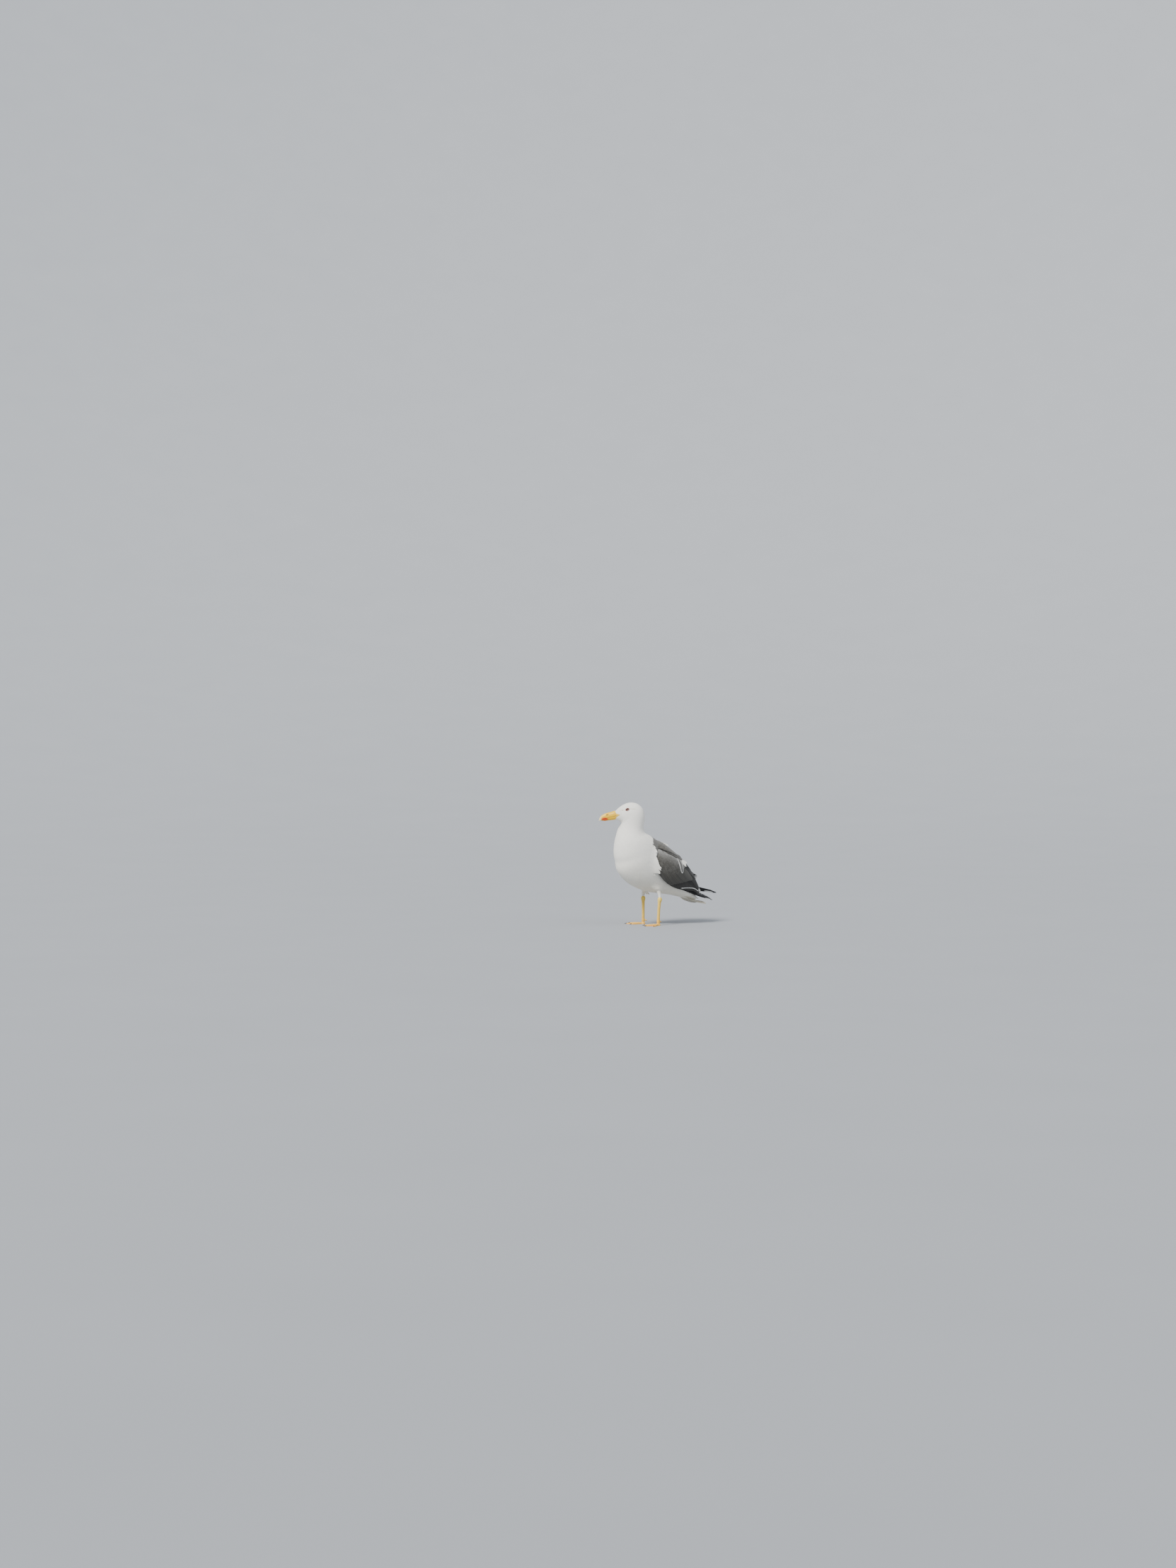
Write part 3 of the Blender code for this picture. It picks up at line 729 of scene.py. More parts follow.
def scatter(surface, start, end, spacing, low=0.0, high=2 * np.pi):
    """Roots in staggered rows of even spacing. Where rows crowd together, some roots are left out."""
    roots, u, row = [], start, 0
    while u < end:
        gap = spacing(u) if callable(spacing) else spacing
        v = np.linspace(low, high, 241)
        line = surface(u, v)
        arc = np.concatenate([[0], np.cumsum(np.linalg.norm(np.diff(line, axis=0), axis=-1))])
        stretch = np.linalg.norm(slopes(surface, u, v)[0], axis=-1)
        step = 0.85 * gap / np.percentile(stretch, 90)
        count = max(1, round(arc[-1] / gap))
        at = (np.arange(count) + 0.5 * (row % 2) + rng.uniform(-0.22, 0.22, count)) * arc[-1] / count
        v_at = np.interp(at, arc, v)
        kept = rng.random(count) < np.interp(v_at, v, stretch) * step / (0.85 * gap)
        u_at = u + step * rng.uniform(-0.3, 0.3, count)
        roots.append(np.stack([u_at, v_at], axis=-1)[kept])
        u += step
        row += 1
    return np.concatenate(roots)


def tree_of(points):
    """A search tree over points."""
    tree = KDTree(len(points))
    for k, point in enumerate(points):
        tree.insert(Vector(point), k)
    tree.balance()
    return tree


def nearest_in(tree, points):
    """For each point, the number of the tree's nearest one."""
    return np.array([tree.find(Vector(point))[1] for point in points])


def under_wing(root, surface):
    """Which roots lie well under a folded wing, where no feather is needed."""
    u, v = lattice(np.linspace(0.6, 7.2, 45), np.linspace(-0.78, 0.8, 19))
    cover = tree_of(np.concatenate([wing(side, -1)(u, v).reshape(-1, 3) for side in SIDES]))
    return np.array([cover.find(Vector(spot))[2] < WING_COVERS for spot in surface(*root.T)])


def tint(batch, shade, tip=None, edge=None, chance=0.0):
    """Tones of a batch: shade all over; tip and edge are (shade, where it starts, how soft it is)."""
    w, t = np.abs(2 * batch["vane"][..., 0] - 1), batch["vane"][..., 1]
    count = len(batch["root"])
    tone = np.broadcast_to(np.asarray(shade, float), count) + chance * rng.uniform(-1, 1, count)
    tone = tone[:, None, None] + 0 * t
    for mark, place in ((edge, w), (tip, t - 0.05 * w**2)):
        if mark:
            tone = tone + (mark[0] - tone) * smooth_step(place, mark[1], mark[1] + mark[2])
    return {**batch, "shade": np.clip(tone, 0, 1)}


print("the coat is from", min(COAT["depth"]), "to", max(COAT["depth"]), "mm deep")


# %% [markdown]
# The eye's opening is kept free of feathers. The eyes look sideways and a little forward; their place is
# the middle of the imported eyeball.

# %% Eyes' places
EYE_RADIUS = 7.0
EYE_TILT = 23.0  # degrees, the front corner down
BARE_LONG, BARE_HIGH = 6.1, 3.3  # half the size of the oval without feathers, in mm


def eye_place(side):
    """The middle of an eyeball, and the unit vector along which it looks out of the head."""
    low, high = (np.array(corner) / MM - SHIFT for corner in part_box(f"{side}_eye"))
    u, v = lattice(np.linspace(1, 4, 61), np.linspace(0.3, 2.2, 77) * SIDES[side])
    middle = (low + high) / 2
    nearest = np.argmin(np.linalg.norm(body(u, v) - middle, axis=-1))
    return middle, slopes(body_line, u, v)[2].reshape(-1, 3)[nearest]


def eye_frame(side):
    """The eye's middle, where it looks, the way from its back corner to its front one, and its up."""
    middle, look = eye_place(side)
    ahead = head_point(1, 0) - head_point(0, 0)
    ahead = ahead - look * (ahead @ look)
    ahead /= np.linalg.norm(ahead)
    rise = np.cross(ahead, look)
    rise *= np.sign(rise[2])
    tilt = math.radians(EYE_TILT)
    return middle, look, ahead * math.cos(tilt) - rise * math.sin(tilt), \
        rise * math.cos(tilt) + ahead * math.sin(tilt)


def seen_by_eye(side, points):
    """Places in an eye's own frame: towards its front corner, up across it, and out of the head."""
    middle, look, ahead, rise = eye_frame(side)
    away = points - middle
    return away @ ahead, away @ rise, away @ look


def from_eye(side, along, across, out):
    """Places given in an eye's own frame, in the bird's."""
    middle, look, ahead, rise = eye_frame(side)
    return middle + along[..., None] * ahead + across[..., None] * rise + out[..., None] * look


def off_eye(points):
    """How far points are from the nearer eye, seen along its axis: 1 on the edge of the bare oval."""
    return np.minimum(*(np.where(out > 0, np.hypot(x / BARE_LONG, y / BARE_HIGH), 9.0)
                        for x, y, out in (seen_by_eye(side, points) for side in SIDES)))


def face_tone(points):
    """The face's faint marks: a dusky spot in front of the eye, and a thin grey line behind it."""
    tone = np.zeros(len(points))
    cosine, sine = math.cos(math.radians(EYE_TILT)), math.sin(math.radians(EYE_TILT))
    for side in SIDES:
        along, across, out = seen_by_eye(side, points)
        x, y = along * cosine + across * sine, across * cosine - along * sine
        lores = bump(x, 13.0, 3.8) * bump(y, -0.3, 1.6) + 0.5 * bump(x, 21, 2.5) * bump(y, 0.5, 2.0)
        behind = 0.75 * smooth_step(-x, 5.0, 8.0) * smooth_step(x, -34, -22) * bump(y, 0.8, 1.5)
        tone += np.where(out > -8, lores + behind, 0)
    return tone


for side in SIDES:
    middle, look = eye_place(side)
    print(side, "eye at", middle.round(1), "looks", look.round(2))

# %% [markdown]
# The corner of the mouth is bare skin too. Seen from the side it is a wedge that narrows backwards from the
# bill to a point under the eye.

# %% Mouth's corner
GAPE_END, GAPE_START, GAPE_HALF = 34.5, 49.0, 7.6  # forward of the neck axis, and half the height in front


def mouth_height(forward):
    """The height of the mouth's line, at and behind the base of the bill."""
    return np.interp(forward, (30, 35, 43, 51), (328.4, 327.0, 325.6, 323.8))


def gape_half(forward):
    """Half the height of the wedge of bare skin."""
    return GAPE_HALF * np.clip((forward - GAPE_END) / (GAPE_START - GAPE_END), 0, 1) ** 1.4


def in_gape(points):
    """Which points lie in the wedge of bare skin, seen from the side."""
    straight = turned(points, -1.0)
    forward, up = NECK_AXIS_Y - straight[..., 1], straight[..., 2]
    inside = (forward > GAPE_END) & (np.abs(up - mouth_height(forward)) < gape_half(forward) - 0.3)
    return inside & (forward < 60)


print("the mouth's corner is", GAPE_END, "mm ahead of the neck's axis")

# %% [markdown]
# The feathers of the breast and flank lie over the front of the folded wings and over the top of the
# thighs. The surface they lie on is the body's outline, raised to those parts and softened over the steps.
# WHITE_EDGE says how far back on the wing the white reaches, from its lower edge upwards.

# %% Coat over the wings' front and the thighs
WHITE_EDGE_V = (-1.0, -0.82, -0.7, -0.62, -0.5, 0.0, 0.2, 0.45, 0.6, 0.8)
WHITE_EDGE_U = (0.95, 1.08, 0.92, 0.5, 0.15, 0.05, 0.12, 0.4, 0.5, 0.55)
THIGH_EDGE = 1.9  # row of the thigh down to which the flank's feathers hang
GRID_U, GRID_V = np.linspace(8, 19.5, 94), np.linspace(0, 2 * np.pi, 181)
body_spots = body(*lattice(GRID_U, GRID_V[:-1])).reshape(-1, 3)
body_normals = slopes(body_line, *lattice(GRID_U, GRID_V[:-1]))[2].reshape(-1, 3)
body_tree = tree_of(body_spots)


def rise_over(spots):
    """How far the coat must rise to lie over these places: a grid over the body. Every place lifts the
    grid point under it; the grid is then widened and softened."""
    below = nearest_in(body_tree, spots)
    rise = np.zeros(len(body_spots))
    np.maximum.at(rise, below, np.sum((spots - body_spots[below]) * body_normals[below], axis=-1))
    rise = rise.reshape(len(GRID_U), -1)
    for _ in range(2):
        rise = np.maximum.reduce([rise, np.roll(rise, 1, 1), np.roll(rise, -1, 1),
                                  np.roll(rise, 1, 0), np.roll(rise, -1, 0)])
    for _ in range(6):
        rise = (2 * rise + np.roll(rise, 1, 1) + np.roll(rise, -1, 1)) / 4
        rise[1:-1] = (2 * rise[1:-1] + rise[2:] + rise[:-2]) / 4
    return rise


def between(grid, u, v):
    """The value of a grid over the body at places (u, v): between its four nearest points."""
    row = np.clip((u - GRID_U[0]) / (GRID_U[1] - GRID_U[0]), 0, len(GRID_U) - 1.001)
    column = (v % (2 * np.pi)) / GRID_V[1]
    around = len(GRID_V) - 1
    i, j = row.astype(int), column.astype(int) % around
    a, b = row - i, column - np.floor(column)
    over = (j + 1) % around
    near = grid[i, j] * (1 - b) + grid[i, over] * b
    far = grid[i + 1, j] * (1 - b) + grid[i + 1, over] * b
    return np.where(u < GRID_U[0], 0.0, near * (1 - a) + far * a)


def draped(rise):
    """The body's outline, raised by a grid."""
    return outward(-1)(lambda u, v: body(u, v) + slopes(body_line, u, v)[2] * between(rise, u, v)[..., None])


u, v = lattice(np.linspace(0.3, THIGH_EDGE, 20), np.linspace(0, 2 * np.pi, 48))
thigh_rise = rise_over(np.concatenate([leg_surface(THIGH, side)(u, v).reshape(-1, 3) for side in SIDES]))
u, v = lattice(np.linspace(-0.1, 2.0, 56), np.linspace(-1, 0.8, 90))
wing_spots = np.concatenate([wing(side)(u, v).reshape(-1, 3) for side in SIDES])
past_edge = np.tile((20 * (u - np.interp(v, WHITE_EDGE_V, WHITE_EDGE_U))).ravel(), 2)  # mm
wing_rise = rise_over(wing_spots)
flank, shoulder = draped(thigh_rise), draped(np.maximum(thigh_rise, wing_rise))
print("coat raised over the wings by up to", wing_rise.max().round(1), "mm")
print("coat raised over the thighs by up to", thigh_rise.max().round(1), "mm")

# %% [markdown]
# Each body feather grows from its root along the body, a little off its way by chance. None grows over the
# eyes and the mouth's corner, or under the folded wings. The back's are grey, and make the mantle.

# %% Body feathers
MANTLE_STARTS, MANTLE_ENDS, MANTLE_HALF = 10.6, 18, 1.2  # rows, and the angle to each side
WING_FRONT, WING_REACH = 13.7, 5.2  # rows of the body beside the wings' front
FURTHER_BACK = 6  # mm that the white reaches further back on the raised right wing
roots = scatter(body, -0.15, BODY_END, lambda u: coat("spacing", u))
wander = 0.10 * np.sin(roots[:, 0] * 2.1 + 5 * np.sin(roots[:, 1] * 3.0)) * smooth_step(roots[:, 0], 2, 9)
tips = tips_from(body, roots, coat("length", roots[:, 0]) * rng.uniform(0.8, 1.15, len(roots)),
                 wander + rng.normal(0, 0.12, len(roots)))
tips[:, 0] = np.minimum(tips[:, 0], BODY_END + rng.uniform(1.2, 2.0, len(roots)))  # ends on the tail
near_eye = np.minimum.reduce([off_eye(body(*(roots + (tips - roots) * share).T))
                              for share in (0, 0.5, 1)]) < 1
bare = in_gape(body(*(roots + (tips - roots) * 0.3).T)) | in_gape(body(*tips.T))
high = np.maximum(between(wing_rise, *roots.T), between(wing_rise, *tips.T)) > 0.4
past = past_edge[nearest_in(tree_of(wing_spots), shoulder(*tips.T))]
past = past - FURTHER_BACK * (np.sin(tips[:, 1]) * SIDES["right"] > 0)
across = from_top(roots[:, 1])
back = (roots[:, 0] > MANTLE_STARTS + 0.7 * across**2) & (across < MANTLE_HALF) & (roots[:, 0] < MANTLE_ENDS)
under = under_wing(roots, body)
over_wing = (high | under) & (past < rng.normal(0, 2.2, len(roots)))
over_wing &= (np.abs(roots[:, 0] - WING_FRONT) < WING_REACH) & ~back
kept = over_wing | (~near_eye & ~bare & ~under)
roots, tips, over_wing, back = roots[kept], tips[kept], over_wing[kept], back[kept]
print("body feathers:", len(roots), "of them grey:", back.sum())


def body_batch(chosen, surface=body, slim=1.0, rows=6, columns=3, **more):
    """Feathers of the body with the sizes that COAT gives. They turn down to their roots only near the
    root, so that their ends lie level and the steps between them are low."""
    u = roots[chosen, 0]
    half = slim * coat("half", u) * rng.uniform(0.85, 1.15, len(u))
    settings = {"lift": 0.01, "roll": rng.normal(0, 0.02, len(u)), "bend": rng.normal(0, 0.25, len(u)),
                "blunt": 1.5, "camber": 0.05, "flat": 3.6}
    return vanes(surface, roots[chosen], tips[chosen], half, coat("depth", u), rows=rows, columns=columns,
                 **{**settings, **more})


def white_batch(chosen, surface=body, **more):
    """White feathers, darker and creamier on the underside of the body: painted shade."""
    # painted shade: the underside of the belly is made darker and creamier
    underside_shade = np.clip(0.25 - np.cos(roots[chosen, 1]), 0, 1) * smooth_step(roots[chosen, 0], 11, 17)
    marks = face_tone(body(*tips[chosen].T)) * (roots[chosen, 0] < 6)
    return tint(body_batch(chosen, surface, **more), 0.03 + 0.5 * underside_shade + marks, chance=0.04)


for name, start, end in (("face_feathers", -1, 3.0), ("crown_feathers", 3.0, 5.0),
                         ("throat_feathers", 5.0, 7.4), ("neck_feathers", 7.4, 10.0),
                         ("breast_feathers", 10.0, 14.0), ("belly_and_vent_feathers", 14.0, 30.0)):
    chosen = np.flatnonzero(~back & ~over_wing & (roots[:, 0] >= start) & (roots[:, 0] < end))
    coat_piece(name, [white_batch(chosen, flank if start > 7 else body)])
for side in SIDES:
    chosen = np.flatnonzero(over_wing & (np.sin(roots[:, 1]) * SIDES[side] > 0))
    batch = white_batch(chosen, shoulder, slim=0.72, top=0.3, rows=9, columns=5, blunt=1.3)
    coat_piece(f"{side}_shoulder_feathers", [batch])
mantle = body_batch(np.flatnonzero(back), top=0.1, blunt=2.2, roll=0.0, camber=0.14, flat=2.2)
coat_piece("mantle_feathers", [tint(mantle, 0.52, edge=(0.54, 0.75, 0.3), chance=0.03)], "grey_plumage")


# %% [markdown]
# ## The folded wings
# On a folded wing the long flight feathers slide under each other like a closed fan, and the coverts lie
# over their bases in rows. The shoulder feathers (scapulars) hang over the wing's upper part. From below
# upwards the layers are: secondaries, tertials, coverts, scapulars. Both faces of the free end are
# feathered, because the raised wing shows its inner side.

# %% Feathers of one wing
SCAPULAR_U = (-0.3, 0.5, 1.35, 2.4, 3.6, 4.9)
SCAPULAR_EDGE = (0.75, 0.6, 0.36, 0.33, 0.5, 0.8)  # how low the scapulars reach on the wing


def scapular_edge(u):
    return np.interp(u, SCAPULAR_U, SCAPULAR_EDGE)


def covert_batches(side):
    """The small feathers of the wing: pale above, darker and browner towards the lower edge."""
    surface = wing(side)
    roots = scatter(surface, -0.3, 4.3, lambda u: np.interp(u, (-0.3, 0.6, 3, 5), (3.6, 4.6, 6, 7)),
                    -0.98, 0.98)
    u, v = roots.T
    roots = roots[(v < scapular_edge(u) + 0.25) & (u < 2.5 + 1.7 * (v + 1) / 2)]
    u, v = roots.T
    length = np.interp(u, (-0.3, 0.6, 4), (11, 16, 22)) * rng.uniform(0.85, 1.1, len(u))
    tips = tips_from(surface, roots, length, rng.normal(0.08 * SIDES[side], 0.06, len(u)))
    batch = vanes(surface, roots, tips, length * 0.33, 2.2, lift=0.05, rows=8, columns=5, camber=0.14,
                  roll=rng.normal(0, 0.03, len(u)), bend=rng.normal(0, 0.1, len(u)), top=-0.6, flat=2.6)
    shade = 0.38 + 0.33 * smooth_step(-v, -0.4, 0.4) - 0.10 * bump(u, 3.3, 0.8) * bump(v, 0.3, 0.25)
    paler = (shade - 0.05)[:, None, None]
    return [tint(batch, shade, edge=(paler, 0.7, 0.4), tip=(paler, 0.93, 0.1), chance=0.05)]


def scapular_batches(side):
    """The shoulder feathers, over the wing's upper part: darker, with painted shadow along their lower edge,
    where they overhang the wing.
    """
    surface = wing(side)
    roots = scatter(surface, -0.6, 4.6, lambda u: np.interp(u, (-0.6, 1, 5), (3.6, 4.8, 6)), 0.0, 1.0)
    roots = roots[roots[:, 1] > scapular_edge(roots[:, 0]) + 0.04]
    u, v = roots.T
    length = np.interp(u, (-0.6, 1, 4.6), (13, 22, 28)) * rng.uniform(0.9, 1.1, len(u))
    tips = tips_from(surface, roots, length, rng.normal(-0.06 * SIDES[side], 0.05, len(u)))
    batch = vanes(surface, roots, tips, length * 0.3, 2.0, lift=0.02, rows=9, columns=5, camber=0.05,
                  roll=rng.normal(0, 0.02, len(u)), top=0.5, flat=2.8, blunt=2.2)
    # the lowest scapulars are darker: painted shadow of the gap under their edge
    shadow_line_share = bump(v, scapular_edge(u) + 0.07, 0.09)
    shade = 0.56 + 0.12 * shadow_line_share
    darker = (shade + 0.02 + 0.2 * shadow_line_share)[:, None, None]
    made = tint(batch, shade, edge=(darker, 0.75, 0.3), tip=(darker, 0.92, 0.1), chance=0.02)
    # a strip of long black feathers along the lower edge: painted shadow of the gap between the scapulars and
    # the wing
    start, end = np.linspace(0.2, 4.2, 9), np.linspace(1.3, 5.15, 9)
    roots = np.column_stack([start, scapular_edge(start) + 0.05])
    tips = np.column_stack([end, scapular_edge(end) + 0.01])
    rim = vanes(surface, roots, tips, np.linspace(1.0, 3.2, 9), 1.0, rows=16, columns=5, camber=0.0,
                blunt=1.6, quill=0.3, top=0.75)
    return [made, tint(rim, 1.0, chance=0.01)]


def big_feathers(side, tones, roots, tips, half, layer, top=0.0, tip=None, edge=None, **more):
    """A row of large feathers with an upper and a lower vane each. layer is 1 on the wing's outer face, 0 in
    its middle and -1 on its inner face. Each feather is rolled a little, so that its front edge lies over
    the rear edge of the one before it."""
    layers = np.broadcast_to(np.asarray(layer, float), len(roots)).copy()
    surface = wing(side, layers)
    settings = {"rows": 30, "columns": 9, "camber": 0.0, "thick": 0.16, "blunt": 2.8,
                "roll": -0.06 * SIDES[side] * np.sign(layers + 1e-6)}
    batch = vanes(surface, roots, tips, half, 1.0, top=top, **{**settings, **more})
    return tint(batch, tones, tip=tip, edge=edge, chance=0.02)


TERTIAL_ROOTS = np.array([(3.5, -0.35), (3.3, -0.05), (3.1, 0.2), (2.9, 0.42), (2.7, 0.6)])
TERTIAL_TIPS = np.array([(7.8, -0.45), (7.15, -0.05), (6.4, 0.28), (5.65, 0.54), (4.95, 0.78)])
TERTIAL_WIDTHS = np.array([15, 15, 14, 12, 10])  # half of each, in mm
# The white line of the secondaries' tips along the wing's lower edge.
TIP_LINE_U, TIP_LINE_V = (3.7, 4.1, 4.9, 5.9, 6.5, 7.2), (-0.97, -0.93, -0.885, -0.84, -0.86, -0.95)


def flight_batches(side):
    """Secondaries with the white line of their tips, tertials and greater coverts of one wing. The tertials
    lie on both faces of the wing, the secondaries in its middle. One of the left wing's feathers lies
    crosswise over the others, grey with a white edge."""
    made = [big_feathers(side, 0.92, np.linspace((1.4, -0.5), (5.6, -0.45), 28),
                         np.linspace((2.55, -0.99), (7.3, -0.98), 28), 6.0, 0.12, blunt=9.0, thick=0.12,
                         rows=48)]
    start = np.linspace(3.75, 6.3, 8)
    roots, tips = (np.column_stack([u, np.interp(u, TIP_LINE_U, TIP_LINE_V)]) for u in (start, start + 0.75))
    made.append(big_feathers(side, 0.03, roots, tips, 1.15, 0.2, top=0.35, roll=0.0, rows=14, columns=5,
                             blunt=1.5, quill=0.25))
    starts = np.array([0.83, 0.965, 0.965, 0.965, 0.965])[:, None, None]
    for face, tip, tones in ((1, (0.03, starts, 0.02), np.linspace(0.97, 0.94, 5)),
                             (-1, (0.17, 0.84, 0.08), np.linspace(0.97, 0.98, 5))):
        made.append(big_feathers(
            side, tones, TERTIAL_ROOTS, TERTIAL_TIPS, TERTIAL_WIDTHS, face * np.linspace(0.3, 0.9, 5),
            top=np.linspace(-0.5, 0.2, 5), roll=0.0, tip=tip, edge=(0.84, 0.88, 0.12),
            narrow=-0.12 * SIDES[side] * face))
    made.append(big_feathers(
        side, np.linspace(0.76, 0.72, 12), np.linspace((0.9, -0.66), (3.4, -0.05), 12),
        np.linspace((2.75, -0.98), (5.3, -0.4), 12), 8.5, 1.0, top=-0.5, tip=(0.68, 0.95, 0.05),
        edge=(0.7, 0.82, 0.3)))
    if side == "left":
        made.append(big_feathers(side, 0.55, np.array([(3.26, 0.5)]), np.array([(3.52, -0.36)]), 8.6, 1.0,
                                 top=0.6, roll=0.0, edge=(0.05, 0.52, 0.16), tip=(0.05, 0.91, 0.04),
                                 blunt=2.0, quill=0.45, camber=0.05))
    return made


WING_SPAN, END_SPAN, LEG_SPAN = (WING_END, 2.0), (4, 2.0), (4, 2 * np.pi)  # how far u and v run on them
for side in SIDES:
    for name, batches, replaced in (
            ("wing_covert", covert_batches, (f"{side}_wing_coverts",)),
            ("scapular", scapular_batches, ()),
            ("secondary_and_tertial", flight_batches, (f"{side}_wing_tertials",))):
        coat_piece(f"{side}_{name}_feathers", batches(side), "grey_plumage", replaced, WING_SPAN)

# %% [markdown]
# The primaries are the long black blades that cross over the tail. Each one's tip lies a step behind the
# next, and the longest carry white tips.

# %% Primaries and tail
def primary_batch(side):
    """Six primaries, from the longest and innermost in the stack to the shortest and outermost. The longest
    has a white patch before its tip."""
    surface = primary_stack(side)
    tips = np.array([(4.0, 0.0), (3.62, 0.15), (3.2, 0.1), (2.75, 0.1), (2.25, 0.05), (1.75, 0.0)])
    roots = np.column_stack([np.full(6, -0.4), np.linspace(-0.35, 0.35, 6)])
    half = np.array([5.6, 6.2, 7.0, 8.0, 8.8, 9.2])
    batch = vanes(surface, roots, tips, half, 0.0, rows=40, columns=9, camber=0.05, blunt=2.0, quill=0.6,
                  top=np.linspace(-2.1, 2.1, 6), thick=0.45, narrow=0.1)
    batch = tint(batch, 0.97, tip=(0.02, 0.965, 0.015), edge=(0.85, 0.85, 0.3), chance=0.02)
    w, t = batch["vane"][0, ..., 0] * SIDES[side], batch["vane"][0, ..., 1]
    patch = smooth_step(t, 0.68, 0.72) * smooth_step(-t, -0.93, -0.88) * smooth_step(
        -w, -0.62 if side == "left" else 0.38, -0.5 if side == "left" else 0.5)
    batch["shade"][0] -= batch["shade"][0] * patch
    return batch


def tail_batch():
    """Twelve tail feathers: the middle pair on top, the outer ones under it. Their grey is partly the real
    pale grey of a tail's underside and partly painted shade, darkest on the outer feathers, the edges and the
    tip.
    """
    across = np.linspace(-0.86, 0.86, 12)
    roots = np.column_stack([np.full(12, -0.3), across * 0.6])
    tips = np.column_stack([4.0 - 0.05 * np.abs(across), across])
    batch = vanes(tail_middle, roots, tips, 7.6, 0.0, rows=30, columns=9, camber=0.02, blunt=6.0, quill=0.6,
                  top=1.2 - 2.6 * np.abs(across), thick=0.4)
    # painted shade over the underside's real pale grey: darker on the outer feathers, the edges and the tip
    return tint(batch, 0.75 + 0.2 * np.abs(across), edge=(0.95, 0.8, 0.3), tip=(1.0, 0.5, 0.3), chance=0.03)


for side in SIDES:
    coat_piece(f"{side}_primary_feathers", [primary_batch(side)], "black_plumage",
               (f"{side}_wing_primaries",), END_SPAN)
coat_piece("tail_feathers", [tail_batch()], replaces=("tail",), span=END_SPAN)

# %% [markdown]
# White feathers hang down the thigh to the bare shank, and merge with the belly above. Where the coat was
# ruffled, a few feathers stand out of it: a tuft on the back, a white patch on the upper edge of the wing,
# and pointed locks behind the far thigh.

# %% Thighs and tufts
def thigh_batch(side):
    """Feathers down the thigh, sunk in the belly's coat at their upper end, with painted shade: grey at the
    top like the belly, and all down the far thigh.
    """
    surface = leg_surface(THIGH, side)
    roots = scatter(surface, 0.2, 3.65, lambda u: np.interp(u, (0, 4), (2.6, 1.4)))
    u = roots[:, 0]
    length = np.interp(u, (0, 2, 4), (15, 10, 6.0)) * rng.uniform(0.8, 1.15, len(u))
    tips = tips_from(surface, roots, length, rng.normal(0, 0.1, len(u)))
    tips[:, 0] = np.minimum(tips[:, 0], 4.4 + rng.uniform(-0.3, 0.15, len(u)))
    batch = vanes(surface, roots, tips, np.interp(u, (0, 4), (3.0, 1.0)), np.interp(u, (0, 4), (2, 0.7)),
                  top=-0.2, roll=rng.normal(0, 0.05, len(u)), blunt=1.5, camber=0.2)
    # painted shade: grey at the thigh's top like the belly's, and grey all down the far (right) thigh
    return tint(batch, np.interp(u, (1.5, 3), (0.45, 0.1 if side == "left" else 0.55)), chance=0.05)


def tuft(surface, root, tip, spread, count, half, lift, shade, **more):
    """Feathers that start close together and end apart, standing out by lift at their tips."""
    fan = rng.uniform(-1, 1, (count, 1)) * np.array(spread)
    roots = np.array(root) + 0.3 * fan + rng.normal(0, 0.01, (count, 2))
    tips = np.array(tip) + fan
    settings = {"bend": rng.normal(0, 0.3, count), "roll": rng.normal(0, 0.15, count), "rows": 10}
    batch = vanes(surface, roots, tips, half * rng.uniform(0.7, 1.1, count), 2.0, columns=5,
                  lift=lift * rng.uniform(0.5, 1.0, count), blunt=1.3, flat=2.0, **{**settings, **more})
    return tint(batch, shade, chance=0.05)


for side in SIDES:
    coat_piece(f"{side}_thigh_feathers", [thigh_batch(side)], span=LEG_SPAN)
coat_piece("back_tuft", [tuft(body, (12.6, 0.05), (13.5, 0.03), (0.3, 0.16), 30, 2.2, 8.0, 0.0, top=1.6,
                              roll=rng.normal(0, 0.5, 30))])
coat_piece("wing_edge_tuft", [
    tuft(wing("left"), (3.75, 0.4), (4.9, 0.56), (0.45, 0.2), 22, 3.6, 2.6, 0.04, top=1.0),
    tuft(wing("left"), (3.75, 0.32), (4.35, 0.3), (0.2, 0.2), 10, 3.2, 1.5, 0.08, top=0.9)], span=WING_SPAN)
far_thigh = leg_surface(THIGH, "right")
coat_piece("thigh_locks", [
    tuft(far_thigh, (1.2, 1.5), (3.3, 1.55), (0.16, 0.2), 18, 2.4, 17.0, 0.15, roll=-1.3),
    tuft(far_thigh, (1.3, 1.5), (2.35, 1.5), (0.16, 0.3), 16, 2.6, 22.0, 0.2, roll=-1.3)], span=LEG_SPAN)

# %% [markdown]
# ## The skin under the coat
# One skin runs through the head, neck, trunk, wings and thighs, inside the coat. The parts are closed
# lofts that reach into each other; remeshing makes one closed surface of them, and smoothing rounds the
# places where they meet. Each of its points takes the tone of the nearest feather root.

# %% Skin
VOXEL = 2.2  # mm between the skin's points
THIGH_SLIM = 0.74  # the thigh's skin, as a share of its coat's width


